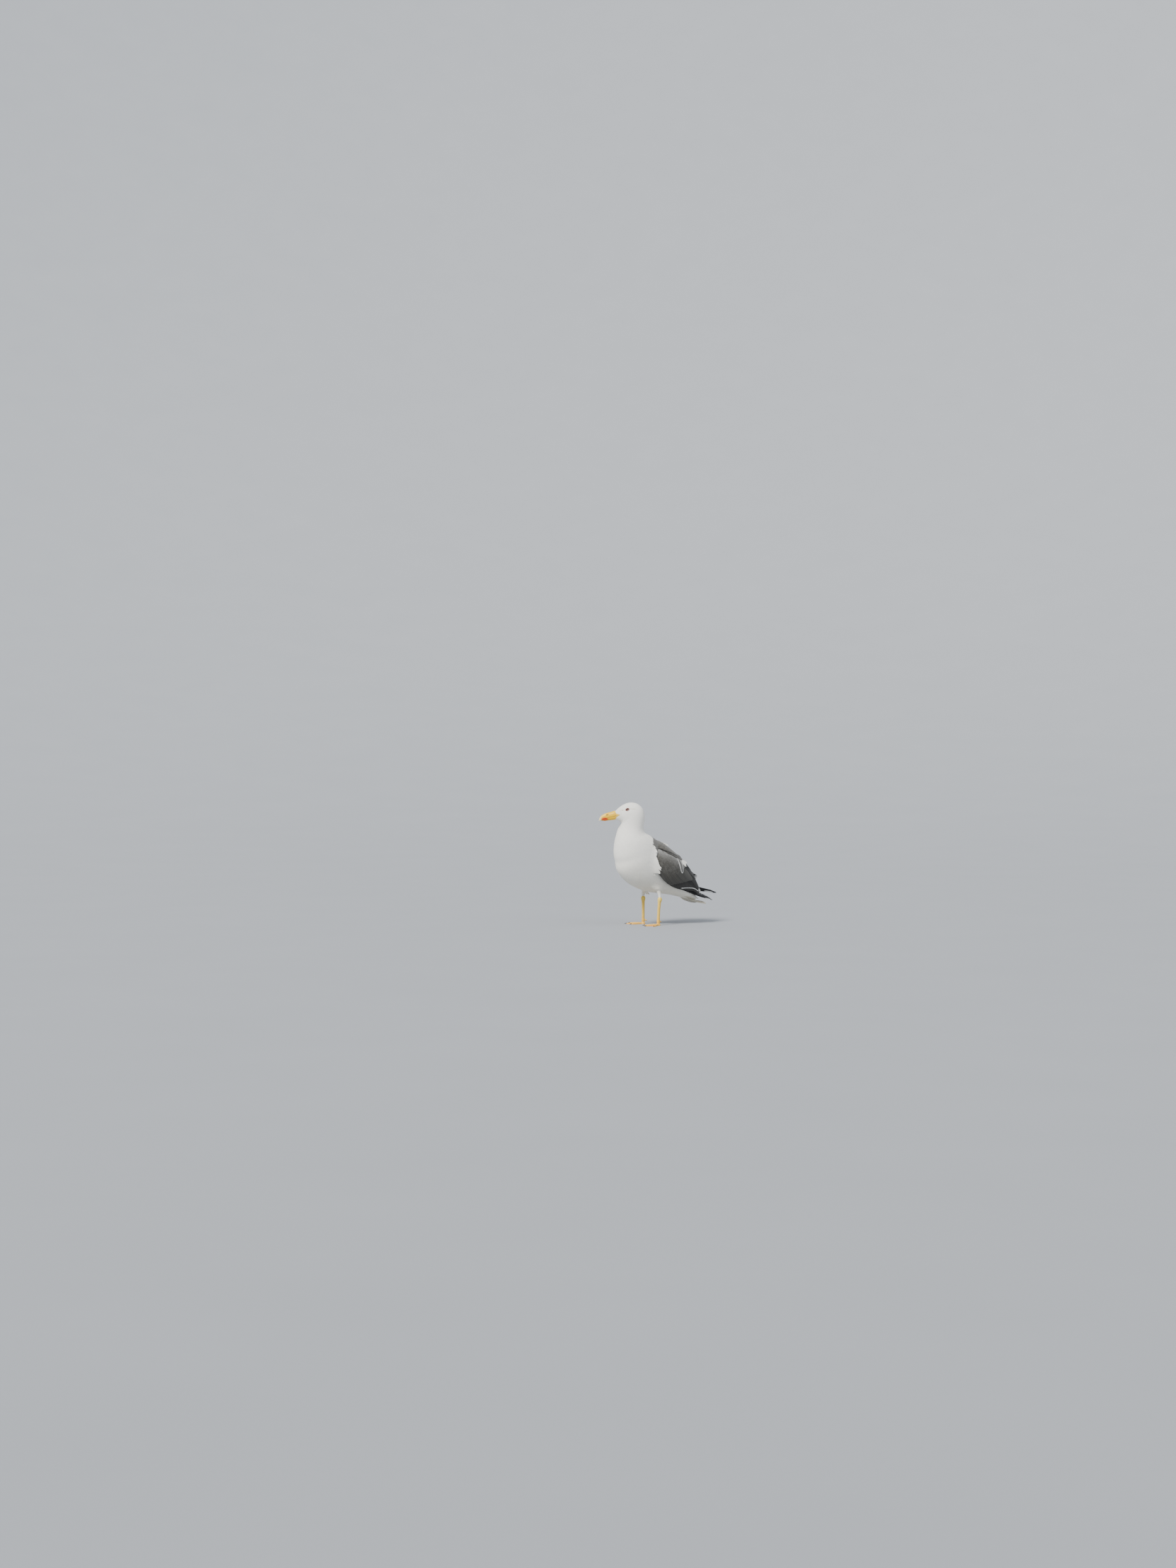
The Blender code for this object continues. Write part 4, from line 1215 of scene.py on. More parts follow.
def skin_parts():
    """The lofts that make up the skin, in mm."""
    u, angle = lattice(np.linspace(-0.1, 21.3, 130), circle(72))
    normal = slopes(body_line, u, angle)[2]
    parts = [body(u, angle) - normal * (coat("depth", u) + 0.2)[..., None]]
    u, angle = lattice(np.linspace(0.25, 6.2, 60), circle(32))
    fullness = 0.5 - 0.45 * smooth_step(u, 2.2, 5.0)
    low = -0.85 + 0.4 * smooth_step(u, 0.8, 2.0)
    for side in SIDES:
        shape = blade(WING, u, (0.85 + low) / 2 + (0.85 - low) / 2 * np.cos(angle),
                      fullness * np.clip(3 * np.sin(angle), -1, 1))
        at_wrist, at_tip, _ = LIFT[side]
        parts.append(lifted(shape, at_wrist + (at_tip - at_wrist) * (u / WING_END) ** 3, side))
    u, angle = lattice(np.linspace(-0.8, 3.9, 24), circle(24))
    for side in SIDES:
        outer = leg_surface(THIGH, side)(u, angle)
        middle = outer.mean(axis=1, keepdims=True)
        parts.append(middle + (outer - middle) * THIGH_SLIM)
    return parts


def remeshed(parts, voxel):
    """One closed smooth surface round all the parts: its points in mm and its faces."""
    mesh = bpy.data.meshes.new("lofts")
    points, groups = joined(loft(rings) for rings in parts)
    mesh.from_pydata(points, [], [face for faces in groups for face in faces.tolist()])
    lofts = linked("lofts", mesh)
    join = lofts.modifiers.new("join", "REMESH")
    join.mode = "VOXEL"
    join.voxel_size = voxel
    soften = lofts.modifiers.new("soften", "SMOOTH")
    soften.iterations = 6
    whole = lofts.evaluated_get(bpy.context.evaluated_depsgraph_get()).to_mesh()
    spots = np.empty(len(whole.vertices) * 3, np.float32)
    whole.vertices.foreach_get("co", spots)
    corners = np.array([polygon.vertices[:] for polygon in whole.polygons])
    bpy.data.objects.remove(lofts)
    return spots.reshape(-1, 3).astype(float), corners


points, quads = remeshed(skin_parts(), VOXEL)
print("skin:", len(points), "points")
marks = tree_of(np.concatenate([spots for spots, _, _ in root_marks]))
tones = np.concatenate([shades for _, shades, _ in root_marks])
kinds = np.concatenate([np.full(len(shades), kind) for _, shades, kind in root_marks])
nearest = nearest_in(marks, points)
skin_shade, skin_kind = tones[nearest], kinds[nearest]
skin = new_piece("skin", points, [quads], list(plumages.values()), "white_plumage",
                 ("head", "neck", "trunk", "left_thigh", "right_thigh"), {"shade": skin_shade}, sharp=180)
skin.data.polygons.foreach_set("material_index", skin_kind[quads[:, 0]].astype(np.int32))


# %% [markdown]
# ## The bill
# The bill is bone under a horny sheath, in two halves. The upper half has a long slit nostril on each side
# and hooks over the lower one, whose keel makes an angle under the red-orange spot. A closed loft with a
# flat inner side makes each half, and the nostril is pressed into it.

# %% Bill
MOUTH = 0.3  # mm between the halves
# Rows: forward of the neck axis; height of the outer line and of the cutting edge; half width.
UPPER_BILL = ((35, 331, 327, 4.6), (43, 336, 325.6, 7.4), (51, 338.3, 323.8, 9), (61, 335.2, 321.2, 8.2),
              (72, 332.4, 318.5, 6.9), (82, 329, 315.2, 5.6), (90, 324, 312.3, 4.2),
              (95.5, 317.5, 310.3, 2.6), (98, 310.8, 308.6, 0.9))
LOWER_BILL = ((37, 320.5, 326.4, 4.4), (45, 314, 325, 7.2), (53, 312, 323.1, 8.2), (63, 310.9, 320.6, 7.2),
              (73, 309.7, 318, 6), (80, 308.8, 315.7, 5), (87, 309.4, 313.2, 3.7), (92.5, 309.9, 311.2, 1.8))
NOSTRIL = (74.0, 326.6, 4.6, 0.95)  # forward, height, half its length and half its height
NOSTRIL_DEPTH = 1.5


def bill_line(table, sign):
    """Half a bill: u counts the table's rows, and v is the angle over the arch from its left edge."""
    @outward(sign)
    def surface(u, v):
        forward, outer, edge, width = np.moveaxis(spline(table, u), -1, 0)
        arch = np.clip(np.sin(v), 0, 1)
        rise = np.abs(outer - edge) * arch**0.8 + MOUTH / 2
        return np.stack([width * np.cos(v) * (1 - 0.06 * arch**2), NECK_AXIS_Y - forward,
                         edge + sign * rise], axis=-1)

    return surface


def bill_half(name, table, sign, node):
    """One half of the bill, with the attributes forward, up and hollow for its finish."""
    surface = bill_line(table, sign)
    u, v = lattice(np.linspace(0, len(table) - 1, 110), np.pi * smooth_step(np.linspace(0, 1, 49), 0, 1))
    points = surface(u, v)
    normal = slopes(surface, u, np.clip(v, 0.03, np.pi - 0.03))[2]
    ahead, up = NECK_AXIS_Y - points[..., 1], points[..., 2]
    slit = np.hypot((ahead - NOSTRIL[0]) / NOSTRIL[2],
                    (up - NOSTRIL[1] + 0.28 * (ahead - NOSTRIL[0])) / NOSTRIL[3])
    # the nostril's hollow, which also darkens it in the finish: painted shade inside the nostril
    hollow = (1 - smooth_step(slit, 0.45, 1.25)) * (sign > 0)
    rim = bump(slit, 1.6, 0.5) * (sign > 0) * np.sin(v)
    plate = 0.10 * np.sin(1.9 * ahead + 1.5 * np.sin(0.7 * up)) * smooth_step(ahead, 86, 60) * np.sin(v)
    points = points - normal * (NOSTRIL_DEPTH * hollow - 0.12 * rim + 0.1 + 0.3 * plate)[..., None]
    inner = points[:, -1:] + (points[:, :1] - points[:, -1:]) * np.linspace(0, 1, 12)[1:-1, None]
    rings = np.concatenate([points, inner], axis=1)
    hollow = np.concatenate([hollow, np.zeros(inner.shape[:2])], axis=1)
    values = {"forward": NECK_AXIS_Y - rings[..., 1], "up": rings[..., 2], "hollow": hollow}
    new_piece(name, *closed_loft(turned(rings, 1.0)), [horn], "bill", (node,), values, sharp=50)


def horn_finish():
    """The horny sheath: yellow, paler at its base and tip, with a red-orange spot at the keel's angle.
    Each colour's place is a distance in the bill's own length and height; the nostril and the mouth's line
    are darkened with painted shade."""
    shader = Shader("bill_horn", IOR=1.5)
    ahead, up = shader.attribute("forward"), shader.attribute("up")
    streaks = shader.noise(shader.place((1.0, 0.25, 1.0)), 0.5, 4.0)
    cloud = shader.noise(shader.place(), 0.12, 2.0)
    wave = (cloud - 0.5) * 5.0
    far = (((ahead - 81.0 + wave) / 11.5) ** 2 + ((up - 314.3) / 5.4) ** 2) ** 0.5
    colour = shader.layers(
        (0.87, 0.50, 0.002), (cloud.ramp(0.3, 0.7), (0.90, 0.58, 0.008)),
        (streaks.ramp(0.45, 0.75) * 0.35, (0.76, 0.37, 0.004)),  # streaks
        ((1 - ahead.ramp(40, 56)) * 0.6, (0.84, 0.62, 0.18)),  # base
        (1 - far.ramp(0.55, 1.12), (0.68, 0.075, 0.006)),  # spot
        (ahead.ramp(88.5, 94.5) * 0.85, (0.80, 0.70, 0.45)),  # tip
        (shader.attribute("hollow").ramp(0.35, 0.85), (0.035, 0.02, 0.012)))  # painted shade in the nostril and along the mouth's line
    height = streaks * 0.7 + cloud * 0.3
    return shader.set(Base_Color=colour, Roughness=0.3 + streaks * 0.18,
                      Normal=shader.relief(height, 0.12, 0.5))


def mouth_corner(side):
    """The wedge of skin behind the bill: a thin closed plate on the outline of the head, with the mouth's
    line pressed into it and darkened with painted shade. Each of its points is found on the head from the
    side."""
    u, v = lattice(np.linspace(-1.0, 3.5, 226), np.linspace(0.3, 2.9, 261) * SIDES[side])
    spots = body(u, v).reshape(-1, 3)
    straight = turned(spots, -1.0)
    seen = tree_of(np.column_stack([NECK_AXIS_Y - straight[:, 1], straight[:, 2], 0 * u.ravel()]))
    forward, w = lattice(np.linspace(GAPE_START, GAPE_END - 1.5, 40), np.linspace(-1, 1, 23))
    up = mouth_height(forward) + (gape_half(forward) + 0.35) * w
    nearest = [seen.find_n(Vector((a, b, 0)), 4) for a, b in zip(forward.ravel(), up.ravel())]
    share = np.array([[1 / (hit[2] + 0.02) for hit in hits] for hits in nearest])
    share /= share.sum(axis=-1, keepdims=True)
    which = np.array([[hit[1] for hit in hits] for hits in nearest])
    place, out = ((values.reshape(-1, 3)[which] * share[..., None]).sum(axis=1).reshape(*up.shape, 3)
                  for values in (spots, slopes(body_line, u, v)[2]))
    off = np.abs(up - mouth_height(forward))
    line = (1 - smooth_step(off, 0.15, 0.65)) * smooth_step(forward, GAPE_END - 1, GAPE_END + 2)
    lip = bump(off, 1.0, 0.5) * smooth_step(forward, GAPE_END, GAPE_END + 5)
    height = 0.1 - 0.7 * line + 0.25 * lip - 0.5 * smooth_step(np.abs(w), 0.7, 1.0)
    top = place + out * height[..., None]
    rings = np.concatenate([top, (place - out * 1.3)[:, ::-1]], axis=1)
    # the mouth's line is darkened too: painted shadow of the gap between the bill and the skin
    values = {key: np.concatenate([value, value[:, ::-1]], axis=1) for key, value in
              (("forward", forward), ("up", up), ("hollow", 0.75 * line))}
    new_piece(f"{side}_mouth_corner", *closed_loft(rings), [horn], "bill", (), values, sharp=80)


def bill_margin(table, sign, front):
    """Velvety feathers at the base of half a bill: their roots are further forward on its ridge."""
    surface = bill_line(table, sign)
    v = np.tile(np.linspace(0.16, np.pi - 0.16, 54), 5) + rng.uniform(-0.04, 0.04, 270)
    row = np.repeat(np.arange(5), 54)
    forward = 46.5 + front * np.clip(np.sin(v), 0, 1) ** 1.4 - 0.75 * row + rng.normal(0, 0.2, 270)
    rows = np.array(table)[:, 0]
    index = np.arange(len(rows))
    roots = np.column_stack([np.interp(forward, rows, index), v])
    tips = np.column_stack([np.interp(forward - rng.uniform(1.8, 2.6, 270), rows, index),
                            v + rng.normal(0, 0.02, 270)])
    batch = vanes(surface, roots, tips, 0.5, 0.25, lift=0.25, top=0.05, blunt=1.6, rows=5, columns=3)
    return {**tint(batch, 0.04, chance=0.04), "points": turned(batch["points"], 1.0)}


coat_piece("bill_margin_feathers", [bill_margin(UPPER_BILL, 1, 5.0), bill_margin(LOWER_BILL, -1, 3.0)],
           span=(8, np.pi))
horn = horn_finish()
for side in SIDES:
    mouth_corner(side)
bill_half("bill_upper_sheath", UPPER_BILL, 1, "bill_upper")
bill_half("bill_lower_sheath", LOWER_BILL, -1, "bill_lower")

# %% [markdown]
# ## The eyes
# A gull's eye is a wet ball deep in the head; only an almond of it shows between the lids, and a bare red
# ring of skin surrounds it. The ball's iris and pupil are circles round the direction in which it looks.
# The ring is a closed tube: its inner edge lies on the ball, and its outer edge goes under the feathers.

# %% Eyes and lids
LID_LONG, LID_HIGH, LID_REACH = 5.5, 2.45, 7.6  # half the opening's length and height, and the outer rim
IRIS, PUPIL = 4.6, 2.3


def eyeball(side):
    """A ball with a slightly raised cornea. The attribute away is each point's distance from its axis."""
    polar, turn = lattice(np.linspace(0.02, np.pi - 0.02, 60), circle(64))
    radius = EYE_RADIUS - 0.15 + 0.15 * bump(polar, 0, 0.5)
    away = radius * np.sin(polar)
    ball = from_eye(side, away * np.cos(turn), away * np.sin(turn), radius * np.cos(polar))
    new_piece(f"{side}_eyeball", *closed_loft(ball), [wet_eye], "eye", (f"{side}_eye",),
              {"away": np.where(polar < np.pi / 2, away, 9.0)})


def lids(side):
    """The bare ring round the eye. Across the tube, share runs 0 to 1 from the opening to the outer rim."""
    turn, share = lattice(circle(96), (0, 0.04, 0.1, 0.18, 0.28, 0.4, 0.55, 0.7, 0.85, 1.0))
    lens = (1 - 0.3 * np.cos(turn) ** 4)
    x = LID_LONG * np.cos(turn) * (1 - share) + LID_REACH * 1.08 * np.cos(turn) * share
    y = LID_HIGH * np.sin(turn) * lens * (1 - share) + LID_REACH * np.sin(turn) * share
    away = np.hypot(x, y)
    ball = np.sqrt(np.clip((EYE_RADIUS + 0.05) ** 2 - away**2, 0.2, None))
    u, v = lattice(np.linspace(0.2, 5, 121), np.linspace(0.1, 2.4, 121) * SIDES[side])
    along, across, out = seen_by_eye(side, body(u, v).reshape(-1, 3))
    spots = np.stack([x, y], axis=-1).reshape(-1, 1, 2)
    nearest = np.argmin(np.linalg.norm(spots - np.stack([along, across], axis=-1), axis=-1), axis=1)
    outline = out[nearest].reshape(x.shape)
    swell = 0.55 * bump(share, 0.13, 0.12) + 0.12 * bump(share, 0.42, 0.1)
    height = ball * (1 - smooth_step(share, 0, 0.5))
    height = height + np.maximum(outline - 0.55, ball) * smooth_step(share, 0, 0.5)
    crease = 0.12 * np.sin(turn * 22 + 3 * np.sin(turn * 3)) * smooth_step(share, 0.1, 0.3) * (1 - share)
    height = height + swell + crease - 1.2 * smooth_step(share, 0.75, 1.0)
    under = np.minimum(ball, height) - 1.6
    x, y, out, from_edge = (np.concatenate([above, below[:, ::-1]], axis=1) for above, below in
                            ((x, x), (y, y), (height, under), (share, share)))
    new_piece(f"{side}_eye_ring", *closed_loft(from_eye(side, x, y, out), ends=False), [ring_skin], "eye",
              values={"from_edge": from_edge})


def eye_finish():
    """Wet eye: a black pupil, a dark brown iris with paler spokes, and a darker rim outside it."""
    shader = Shader("wet_eye", Roughness=0.06, IOR=1.38, Coat_Weight=1.0, Coat_Roughness=0.02)
    away = shader.attribute("away")
    fibres = shader.noise(shader.place(), 2.2, 3.0)
    iris = shader.mix(fibres.ramp(0.35, 0.7), (0.022, 0.009, 0.005), (0.07, 0.03, 0.012))
    ball = shader.mix(away.ramp(IRIS - 0.5, IRIS + 0.1), iris, (0.012, 0.007, 0.006))
    seen = shader.mix(away.ramp(PUPIL - 0.15, PUPIL + 0.15), (0.002, 0.002, 0.002), ball)
    return shader.set(Base_Color=seen)


def ring_finish():
    """Bare skin round the eye: brick red at the lids' edge, pinker outwards, dark just at the edge."""
    shader = Shader("eye_ring_skin", Roughness=0.45, IOR=1.45)
    edge = shader.attribute("from_edge")
    grain = shader.noise(shader.place(), 1.4, 3.0)
    red = shader.mix(grain.ramp(0.3, 0.7), (0.30, 0.055, 0.035), (0.42, 0.11, 0.07))
    outer = shader.mix(edge.ramp(0.14, 0.4), red, (0.70, 0.60, 0.54))
    return shader.set(Base_Color=shader.mix(edge.ramp(0.0, 0.07), (0.05, 0.015, 0.012), outer),
                      Normal=shader.relief(grain, 0.15, 0.6))


wet_eye, ring_skin = eye_finish(), ring_finish()
for side in SIDES:
    eyeball(side)
    lids(side)

# %% [markdown]
# ## Legs and feet
# The bare leg is covered by scales: a row of broad plates down its front, and a honeycomb of small ones
# round the back. On the foot a row of plates runs along the top of each toe, and soft folded webs join the
# three front toes. The joints between scales are grooves in the surface, worked out from the distance to
# the nearest joint.

# %% Scales
# The hind toe's rows: how far back, how high, half the width.
HIND_TOE = ((2.8, 12.2, 2), (5.4, 12, 2), (8, 11.4, 1.8), (10.5, 9.6, 1.3), (11.6, 7, 0.6))
TOE_SPREAD, TOE_LENGTHS = 31.0, (41.0, 50.0, 47.0)
TOE_HALF_WIDTH, TOE_HEIGHT = 2.6, 5.0
HEEL_RADIUS, HEEL_HEIGHT = 6.5, 8.7
WEB_THICKNESS, WEB_DIP = 1.6, 0.26
CLAW_LENGTH, CLAW_HALF_WIDTH, CLAW_GAP = 7.0, 1.35, 0.3
FOOT_TURN = {"left": 8.0, "right": -35.0}  # degrees, towards the bird's left
PLATE = 2.9  # mm from one front plate to the next
SCALE = 1.75  # mm across a small scale
LEG_RADIUS = 4.6
SCALE_DEPTH = 0.32  # of the grooves between scales
UP = np.array([0, 0, 1.0])


def honeycomb(p, q):
    """How near a place is to a joint of a honeycomb of unit cells: 1 on the joint, 0 inside a cell. The two
    nearest cell centres are equally far on a joint."""
    row = np.round(q / 0.866)
    gaps = []
    for near_row in (row - 1, row, row + 1):
        shift = 0.5 * (near_row % 2)
        column = np.round(p - shift)
        gaps += [np.hypot(p - shift - column - k, q - 0.866 * near_row) for k in (-1, 0, 1)]
    first, second = np.sort(gaps, axis=0)[:2]
    return 1 - smooth_step(second - first, 0.02, 0.34)


def joint(place, width):
    """1 where place is a whole number, falling to 0 at width from it."""
    return 1 - smooth_step(np.abs(place - np.round(place)), 0.0, width)


def leg_piece(side, part, points, faces, **values):
    """A scaly part of a leg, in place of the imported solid."""
    new_piece(f"{side}_{part}_scales", points, faces, [scaly_skin], "leg_skin", (f"{side}_{part}",), values,
              sharp=80)


def shank(side):
    """The bare leg from above the hock to the ankle."""
    surface = leg_surface(SHANK, side)
    u, v = lattice(np.linspace(0, len(SHANK) + 0.6, 310), circle(96))
    points, normal = surface(u, v), slopes(surface, u, v)[2]
    facing = -np.pi / 2 + math.radians(FOOT_TURN[side])
    round_it = (v - facing + np.pi) % (2 * np.pi) - np.pi
    down = (points[0, 0, 2] - points[..., 2]) + 0.35 * np.cos(3 * round_it)
    girth = LEG_RADIUS * round_it
    front = 1 - smooth_step(np.abs(round_it), 0.85, 1.05)
    plates = joint(down / PLATE + 0.08 * round_it**2, 0.12)
    small = honeycomb(girth / SCALE, down / SCALE)
    border = bump(np.abs(round_it), 0.98, 0.07)
    hock = bump(points[..., 2], 76, 6)
    groove = np.clip(front * plates + (1 - front) * 0.8 * small + 0.7 * border * (1 - hock), 0, 1)
    swell = 0.25 * np.cos(2 * np.pi * down / PLATE) * front
    points = points - normal * (SCALE_DEPTH * groove + 0.1 - 0.1 * swell)[..., None]
    warm = 0.25 + 0.35 * smooth_step(points[..., 2], 30, 9) - 0.25 * hock
    leg_piece(side, "shank", *closed_loft(points), groove=groove, warm=warm)


def toe_way(side, toe):
    """The unit vector along a front toe, and its angle: 0 is the inner toe, 1 the middle, 2 the outer."""
    angle = math.radians(FOOT_TURN[side] + SIDES[side] * (toe - 1) * TOE_SPREAD)
    return np.array([math.sin(angle), -math.cos(angle), 0.0]), angle


def foot_edge(angle, toes):
    """How far the foot's edge is from the ankle at each angle: round-ended toes, and webs between them
    whose edges fall back."""
    reach = np.full(angle.shape, HEEL_RADIUS)
    for direction, length in toes:
        away = np.abs((angle - direction + np.pi) % (2 * np.pi) - np.pi)
        end = length - TOE_HALF_WIDTH
        beside = TOE_HALF_WIDTH / np.sin(np.clip(away, 1e-6, np.pi / 2))
        inside = TOE_HALF_WIDTH**2 - (end * np.sin(away)) ** 2
        tip = end * np.cos(away) + np.sqrt(np.clip(inside, 0, None))
        reach = np.maximum(reach, np.where(away < np.pi / 2, np.where(inside > 0, tip, beside), 0))
    for (first, near), (second, far) in zip(toes, toes[1:]):
        share = (angle - first) / (second - first)
        edge = (near + (far - near) * share) * (0.955 - WEB_DIP * np.sin(np.pi * np.clip(share, 0, 1)))
        edge = edge - 0.35 * np.sin(share * 26)
        reach = np.where((share > 0) & (share < 1), np.maximum(reach, edge), reach)
    return reach


def laid_over(below, height, groove):
    """Height, groove and web of the foot, with another form over them where it is higher. The web is 1
    where no form lies over it."""
    on_top = height > below[0]
    return [np.where(on_top, new, old) for new, old in zip((height, groove, 0.0), below)]


def foot(side):
    """The webbed foot as a fan of points round the ankle, closed by a flat sole."""
    toes = sorted((toe_way(side, toe)[1], TOE_LENGTHS[toe]) for toe in range(3))
    near = np.radians(np.concatenate([np.arange(-14, -5, 1.5), np.arange(-5, 5.01, 0.5),
                                      np.arange(6.5, 15, 1.5)]))
    rays = [direction + near for direction, _ in toes]
    rays += [[(toes[0][0] + toes[1][0]) / 2, (toes[1][0] + toes[2][0]) / 2]]
    behind = np.radians(np.arange(20, 149, 6))
    rays += [toes[0][0] - behind, toes[2][0] + behind]
    angle = np.sort(np.concatenate(rays))[None]
    edge = foot_edge(angle, toes)
    share = np.linspace(0, 1, 96)[:, None]
    radius = np.maximum(share * edge, HEEL_RADIUS * (0.3 + 0.7 * share))
    small = 0.3 * honeycomb(radius * np.cos(angle) / 1.5, radius * np.sin(angle) / 1.5)
    layers = (np.full(radius.shape, WEB_THICKNESS), small, np.ones(radius.shape))
    for direction, length in toes:
        away = radius * np.sin(angle - direction) / (1.15 * TOE_HALF_WIDTH)
        along = radius * np.cos(angle - direction)
        knuckles = sum(bump(along / length, at, 0.055) for at in (0.34, 0.6, 0.83))
        height = TOE_HEIGHT * (1 - 0.45 * np.clip(radius / length, 0, 1) ** 2) * (0.93 + 0.09 * knuckles)
        ridge = height * np.sqrt(np.clip(1 - (away * (1.04 - 0.1 * knuckles)) ** 2, 0, 1))
        layers = laid_over(layers, np.where(np.cos(angle - direction) > 0, ridge, 0),
                           joint(along / 2.3, 0.16) * smooth_step(ridge, 1.6, 2.6))
    heel = 1.2 + (HEEL_HEIGHT - 1.2) * np.clip(1 - (radius / (1.04 * HEEL_RADIUS)) ** 2, 0, 1) ** 0.8
    heel = np.where(radius < 1.04 * HEEL_RADIUS, heel, 0)
    top, groove, web = laid_over(layers, heel, 0.7 * honeycomb(angle * 4.2, heel / 1.6))
    folds = 0.22 * np.sin(angle * 46 + 0.6 * np.sin(radius * 0.4)) * smooth_step(radius, 14, 26)
    top = top - web * (0.25 - folds) - 0.3 * groove * (1 - 0.6 * web)
    top = top * np.sqrt(np.clip(1 - np.clip((share - 0.95) / 0.055, 0, 1) ** 2, 0.04, 1))
    upper = np.stack([radius * np.sin(angle), -radius * np.cos(angle), top], axis=-1)
    sole = [upper[-1:] * (k, k, 0) for k in (1.0, 0.75, 0.45, 0.15)]
    below = np.zeros((len(sole), angle.shape[1]))
    leg_piece(side, "foot", *closed_loft(np.concatenate([upper, *sole]) + leg_place(side)),
              groove=np.concatenate([groove, below]), warm=np.concatenate([0.62 + 0.33 * web, below + 0.7]))


def curved_horn(path, size, facing, rows, columns):
    """Rings of a tapering horn along a path; size holds half the width and half the height."""
    at = np.linspace(0, len(path) - 1, rows)
    middle, (half, high) = spline(path, at), np.moveaxis(spline(size, at), -1, 0)
    angle = circle(columns)
    across = np.cross(facing, UP)
    keel = 1 + 0.12 * np.clip(np.sin(angle), 0, 1) ** 6
    return middle[:, None] + (half[:, None] * np.cos(angle))[..., None] * across \
        + (high[:, None] * np.sin(angle) * keel)[..., None] * UP


def claws(side):
    """Three short claws that curve down to the floor."""
    lofts = []
    for toe in range(3):
        along, _ = toe_way(side, toe)
        share = np.linspace(0, 1, 6)[:, None]
        run = TOE_LENGTHS[toe] - 0.6 + (CLAW_GAP + 0.6 + CLAW_LENGTH) * share
        height = 0.65 + 1.5 * (1 - share**1.6)
        path = run * along + height * UP + leg_place(side)
        size = CLAW_HALF_WIDTH * (1 - 0.84 * share**1.2) * np.array([0.85, 1.0])
        size[:, 1] = np.minimum(size[:, 1], height[:, 0] - 0.05)
        lofts.append(closed_loft(curved_horn(path, size, along, 18, 16)))
    points, faces = joined(lofts)
    new_piece(f"{side}_front_claws", points, faces, [claw_horn], "claw",
              tuple(f"{side}_claw_{toe}" for toe in ("inner", "middle", "outer")))


def hind_toe(side):
    """The small raised toe behind the ankle, whose tip is a claw."""
    facing, _ = toe_way(side, 1)
    back, up, half = np.array(HIND_TOE, float).T[..., None]
    path = -facing * back + UP * up + leg_place(side)
    size = np.concatenate([half, half], axis=1)
    size[-1] *= 0.5
    share = np.repeat(np.linspace(0, 1, 26), 24)
    leg_piece(side, "hind_toe", *closed_loft(curved_horn(path, size, facing, 26, 24)), warm=0.5 + 0 * share,
              groove=joint(share * 7, 0.2) * (share < 0.7), claw=smooth_step(share, 0.66, 0.76))


def scale_finish():
    """Waxy scales: pale yellow at the hock, warmer towards the foot, orange on the webs, and brown in the
    joints. The attribute warm runs through these colours."""
    shader = Shader("leg_scales", IOR=1.45)
    warm, groove = shader.attribute("warm"), shader.attribute("groove")
    cloud = shader.noise(shader.place(), 0.16, 3.0)
    grain = shader.noise(shader.place(), 1.6, 3.0)
    at = warm + (cloud - 0.5) * 0.35
    colour = shader.layers(
        (0.88, 0.68, 0.14), (at.ramp(0.0, 0.45), (0.86, 0.54, 0.08)),
        (at.ramp(0.45, 1.0), (0.84, 0.33, 0.04)), (grain.ramp(0.5, 0.8) * 0.25, (0.90, 0.66, 0.26)),
        (groove * 0.5, (0.40, 0.19, 0.05)), (shader.attribute("claw"), (0.03, 0.022, 0.018)))
    return shader.set(Base_Color=colour, Roughness=0.36 + grain * 0.2, Normal=shader.relief(grain, 0.14, 0.6))


def claw_finish():
    """Dark horn with fine grain, a little browner where it is thin."""
    shader = Shader("claw_horn", IOR=1.5)
    grain = shader.noise(shader.place((1, 1, 2.5)), 0.9, 4.0)
    colour = shader.mix(grain.ramp(0.4, 0.8), (0.018, 0.014, 0.012), (0.085, 0.055, 0.035))
    return shader.set(Base_Color=colour, Roughness=0.28 + grain * 0.2)


scaly_skin, claw_horn = scale_finish(), claw_finish()
for side in SIDES:
    shank(side)
    foot(side)
    hind_toe(side)
    claws(side)


# %% [markdown]
# ## The studio
# A museum would light the model on a seamless sweep of pale paper. Here one wide bowl is floor and
# backdrop at once, so no horizon shows. The light is soft and the same all over the floor: a wide distant
# lamp from above the viewer's left, a weaker one from the right, and an even sky.

# %% Floor, lamps and camera
FLAT, RIM, RIM_HEIGHT = 2.0, 21.0, 9.5  # metres: the flat part's radius, the bowl's radius and height
CAMERA_AZIMUTH, CAMERA_ELEVATION = 55.0, 4.4  # degrees, from the bird's front towards its left, and upwards
CAMERA_DISTANCE = 6.98
AIM_RIGHT, AIM_UP = -0.184, 0.417  # the middle of the view, from the place between the feet, in metres
LENS = 54.06  # mm, on a film 36 mm high
LAMPS = (  # name, direction towards it, strength, how wide it looks in degrees, colour
    ("key", (0.30, -0.92, 0.95), 4.7, 16.0, (1.0, 0.97, 0.92)),
    ("fill", (0.9, 0.6, 0.7), 0.7, 60.0, (0.93, 0.96, 1.0)),
)

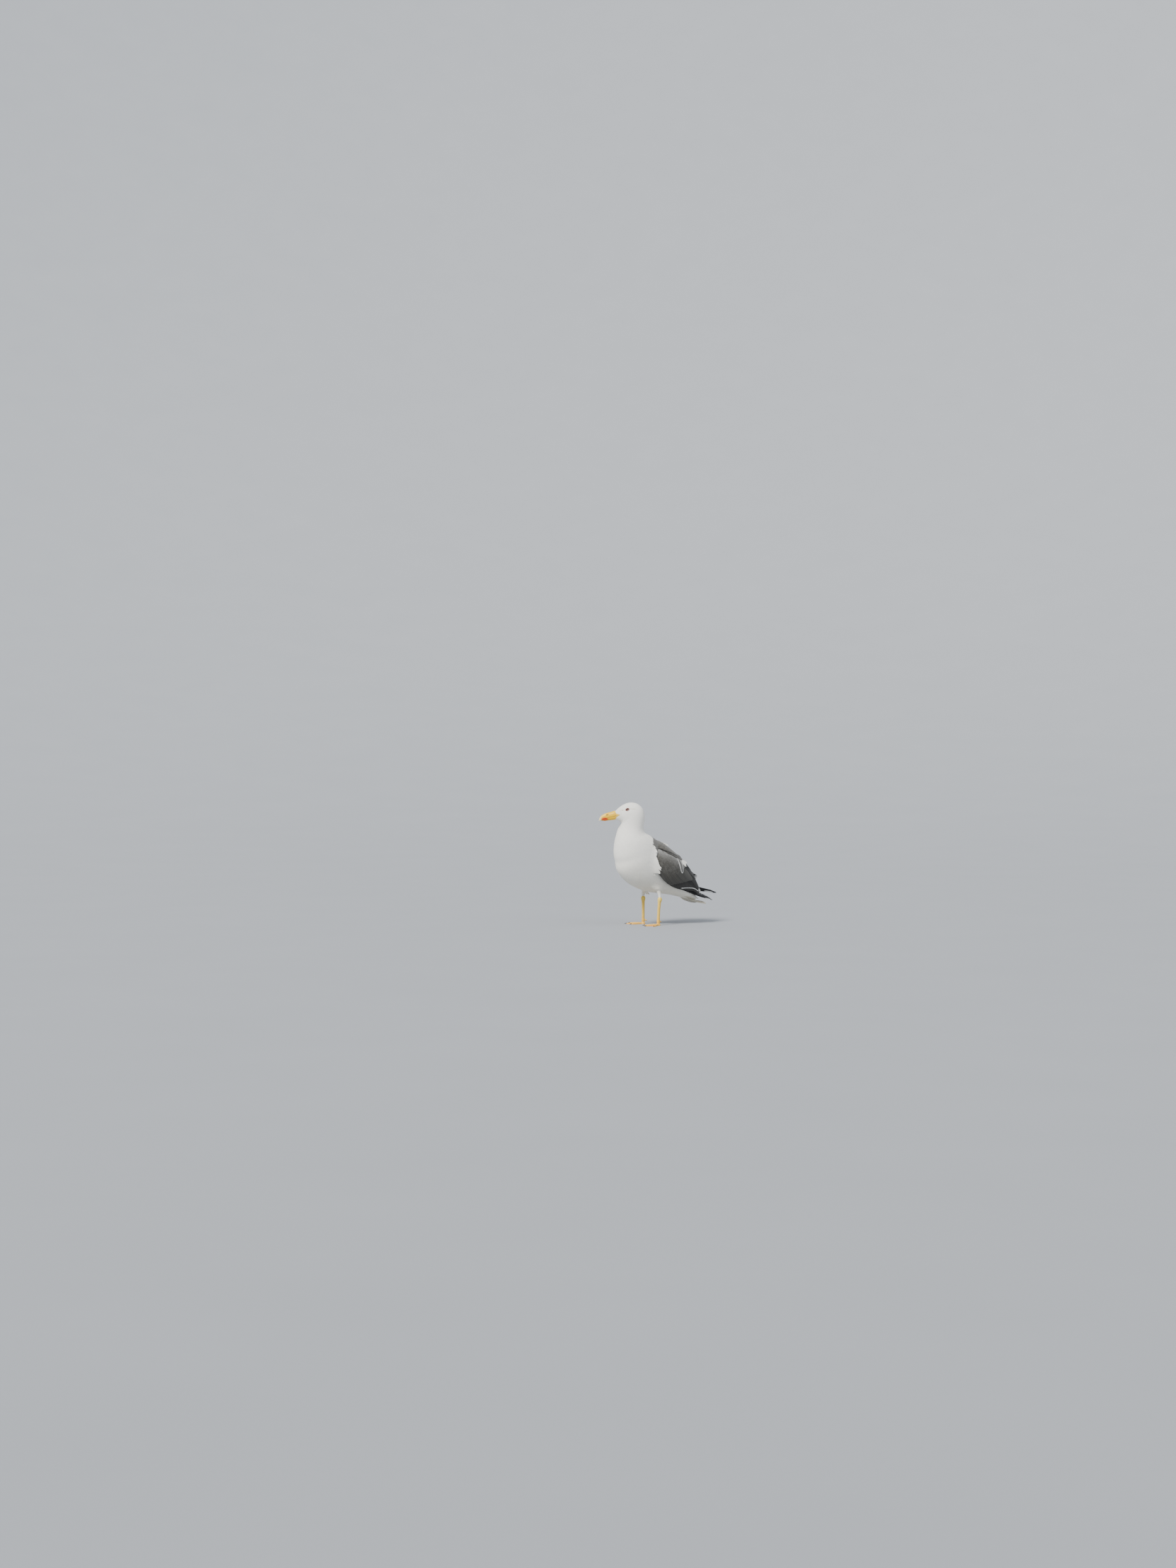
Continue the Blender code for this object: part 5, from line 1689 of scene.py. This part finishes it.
radius = np.linspace(0, RIM, 43)
profile = np.column_stack([radius, RIM_HEIGHT * np.clip((radius - FLAT) / (RIM - FLAT), 0, 1) ** 3])
turn = circle(96)
rings = np.stack([profile[1:, :1] * np.cos(turn), profile[1:, :1] * np.sin(turn),
                  np.broadcast_to(profile[1:, 1:], (len(profile) - 1, len(turn)))], axis=-1)
spots = np.concatenate([rings.reshape(-1, 3), [[0.0, 0.0, 0.0]]])
quads = grid_faces(len(rings), len(turn), wrap=True, flip=True)
hub = [[k, (k + 1) % len(turn), len(spots) - 1] for k in range(len(turn))]
paper = bpy.data.meshes.new("floor")
paper.from_pydata(spots.tolist(), [], quads.tolist() + hub)
paper.shade_smooth()
floor = linked("floor", paper)
finish = Shader("pale_paper", Roughness=0.9)
grain = finish.noise(finish.place(), 0.003, 2.0)
paper.materials.append(finish.set(Base_Color=finish.mix(grain, (0.33, 0.35, 0.38), (0.35, 0.37, 0.40))))

middle = Vector(placed([0, 0, 0]))
sky = bpy.data.worlds.new("studio")
sky.use_nodes = True
sky.node_tree.nodes["Background"].inputs["Color"].default_value = (0.92, 0.95, 1.0, 1)
sky.node_tree.nodes["Background"].inputs["Strength"].default_value = 0.75
bpy.context.scene.world = sky
for name, direction, strength, width, colour in LAMPS:
    lamp = linked(name, bpy.data.lights.new(name, "SUN"))
    lamp.data.energy, lamp.data.angle, lamp.data.color = strength, math.radians(width), colour
    way = Vector(direction).normalized()
    lamp.location = middle + way * 3
    lamp.rotation_euler = (-way).to_track_quat("-Z", "Y").to_euler()

azimuth, elevation = math.radians(CAMERA_AZIMUTH), math.radians(CAMERA_ELEVATION)
out = Vector((math.sin(azimuth) * math.cos(elevation), -math.cos(azimuth) * math.cos(elevation),
              math.sin(elevation)))
right = Vector((math.cos(azimuth), math.sin(azimuth), 0))
camera = linked("camera", bpy.data.cameras.new("camera"))
camera.data.lens = LENS
bpy.context.scene.camera = camera
camera.location = middle + out * CAMERA_DISTANCE
aim = middle + right * AIM_RIGHT + out.cross(right) * AIM_UP
camera.rotation_euler = (aim - camera.location).to_track_quat("-Z", "Y").to_euler()
print("camera", round(camera.location.z, 3), "m above the floor")
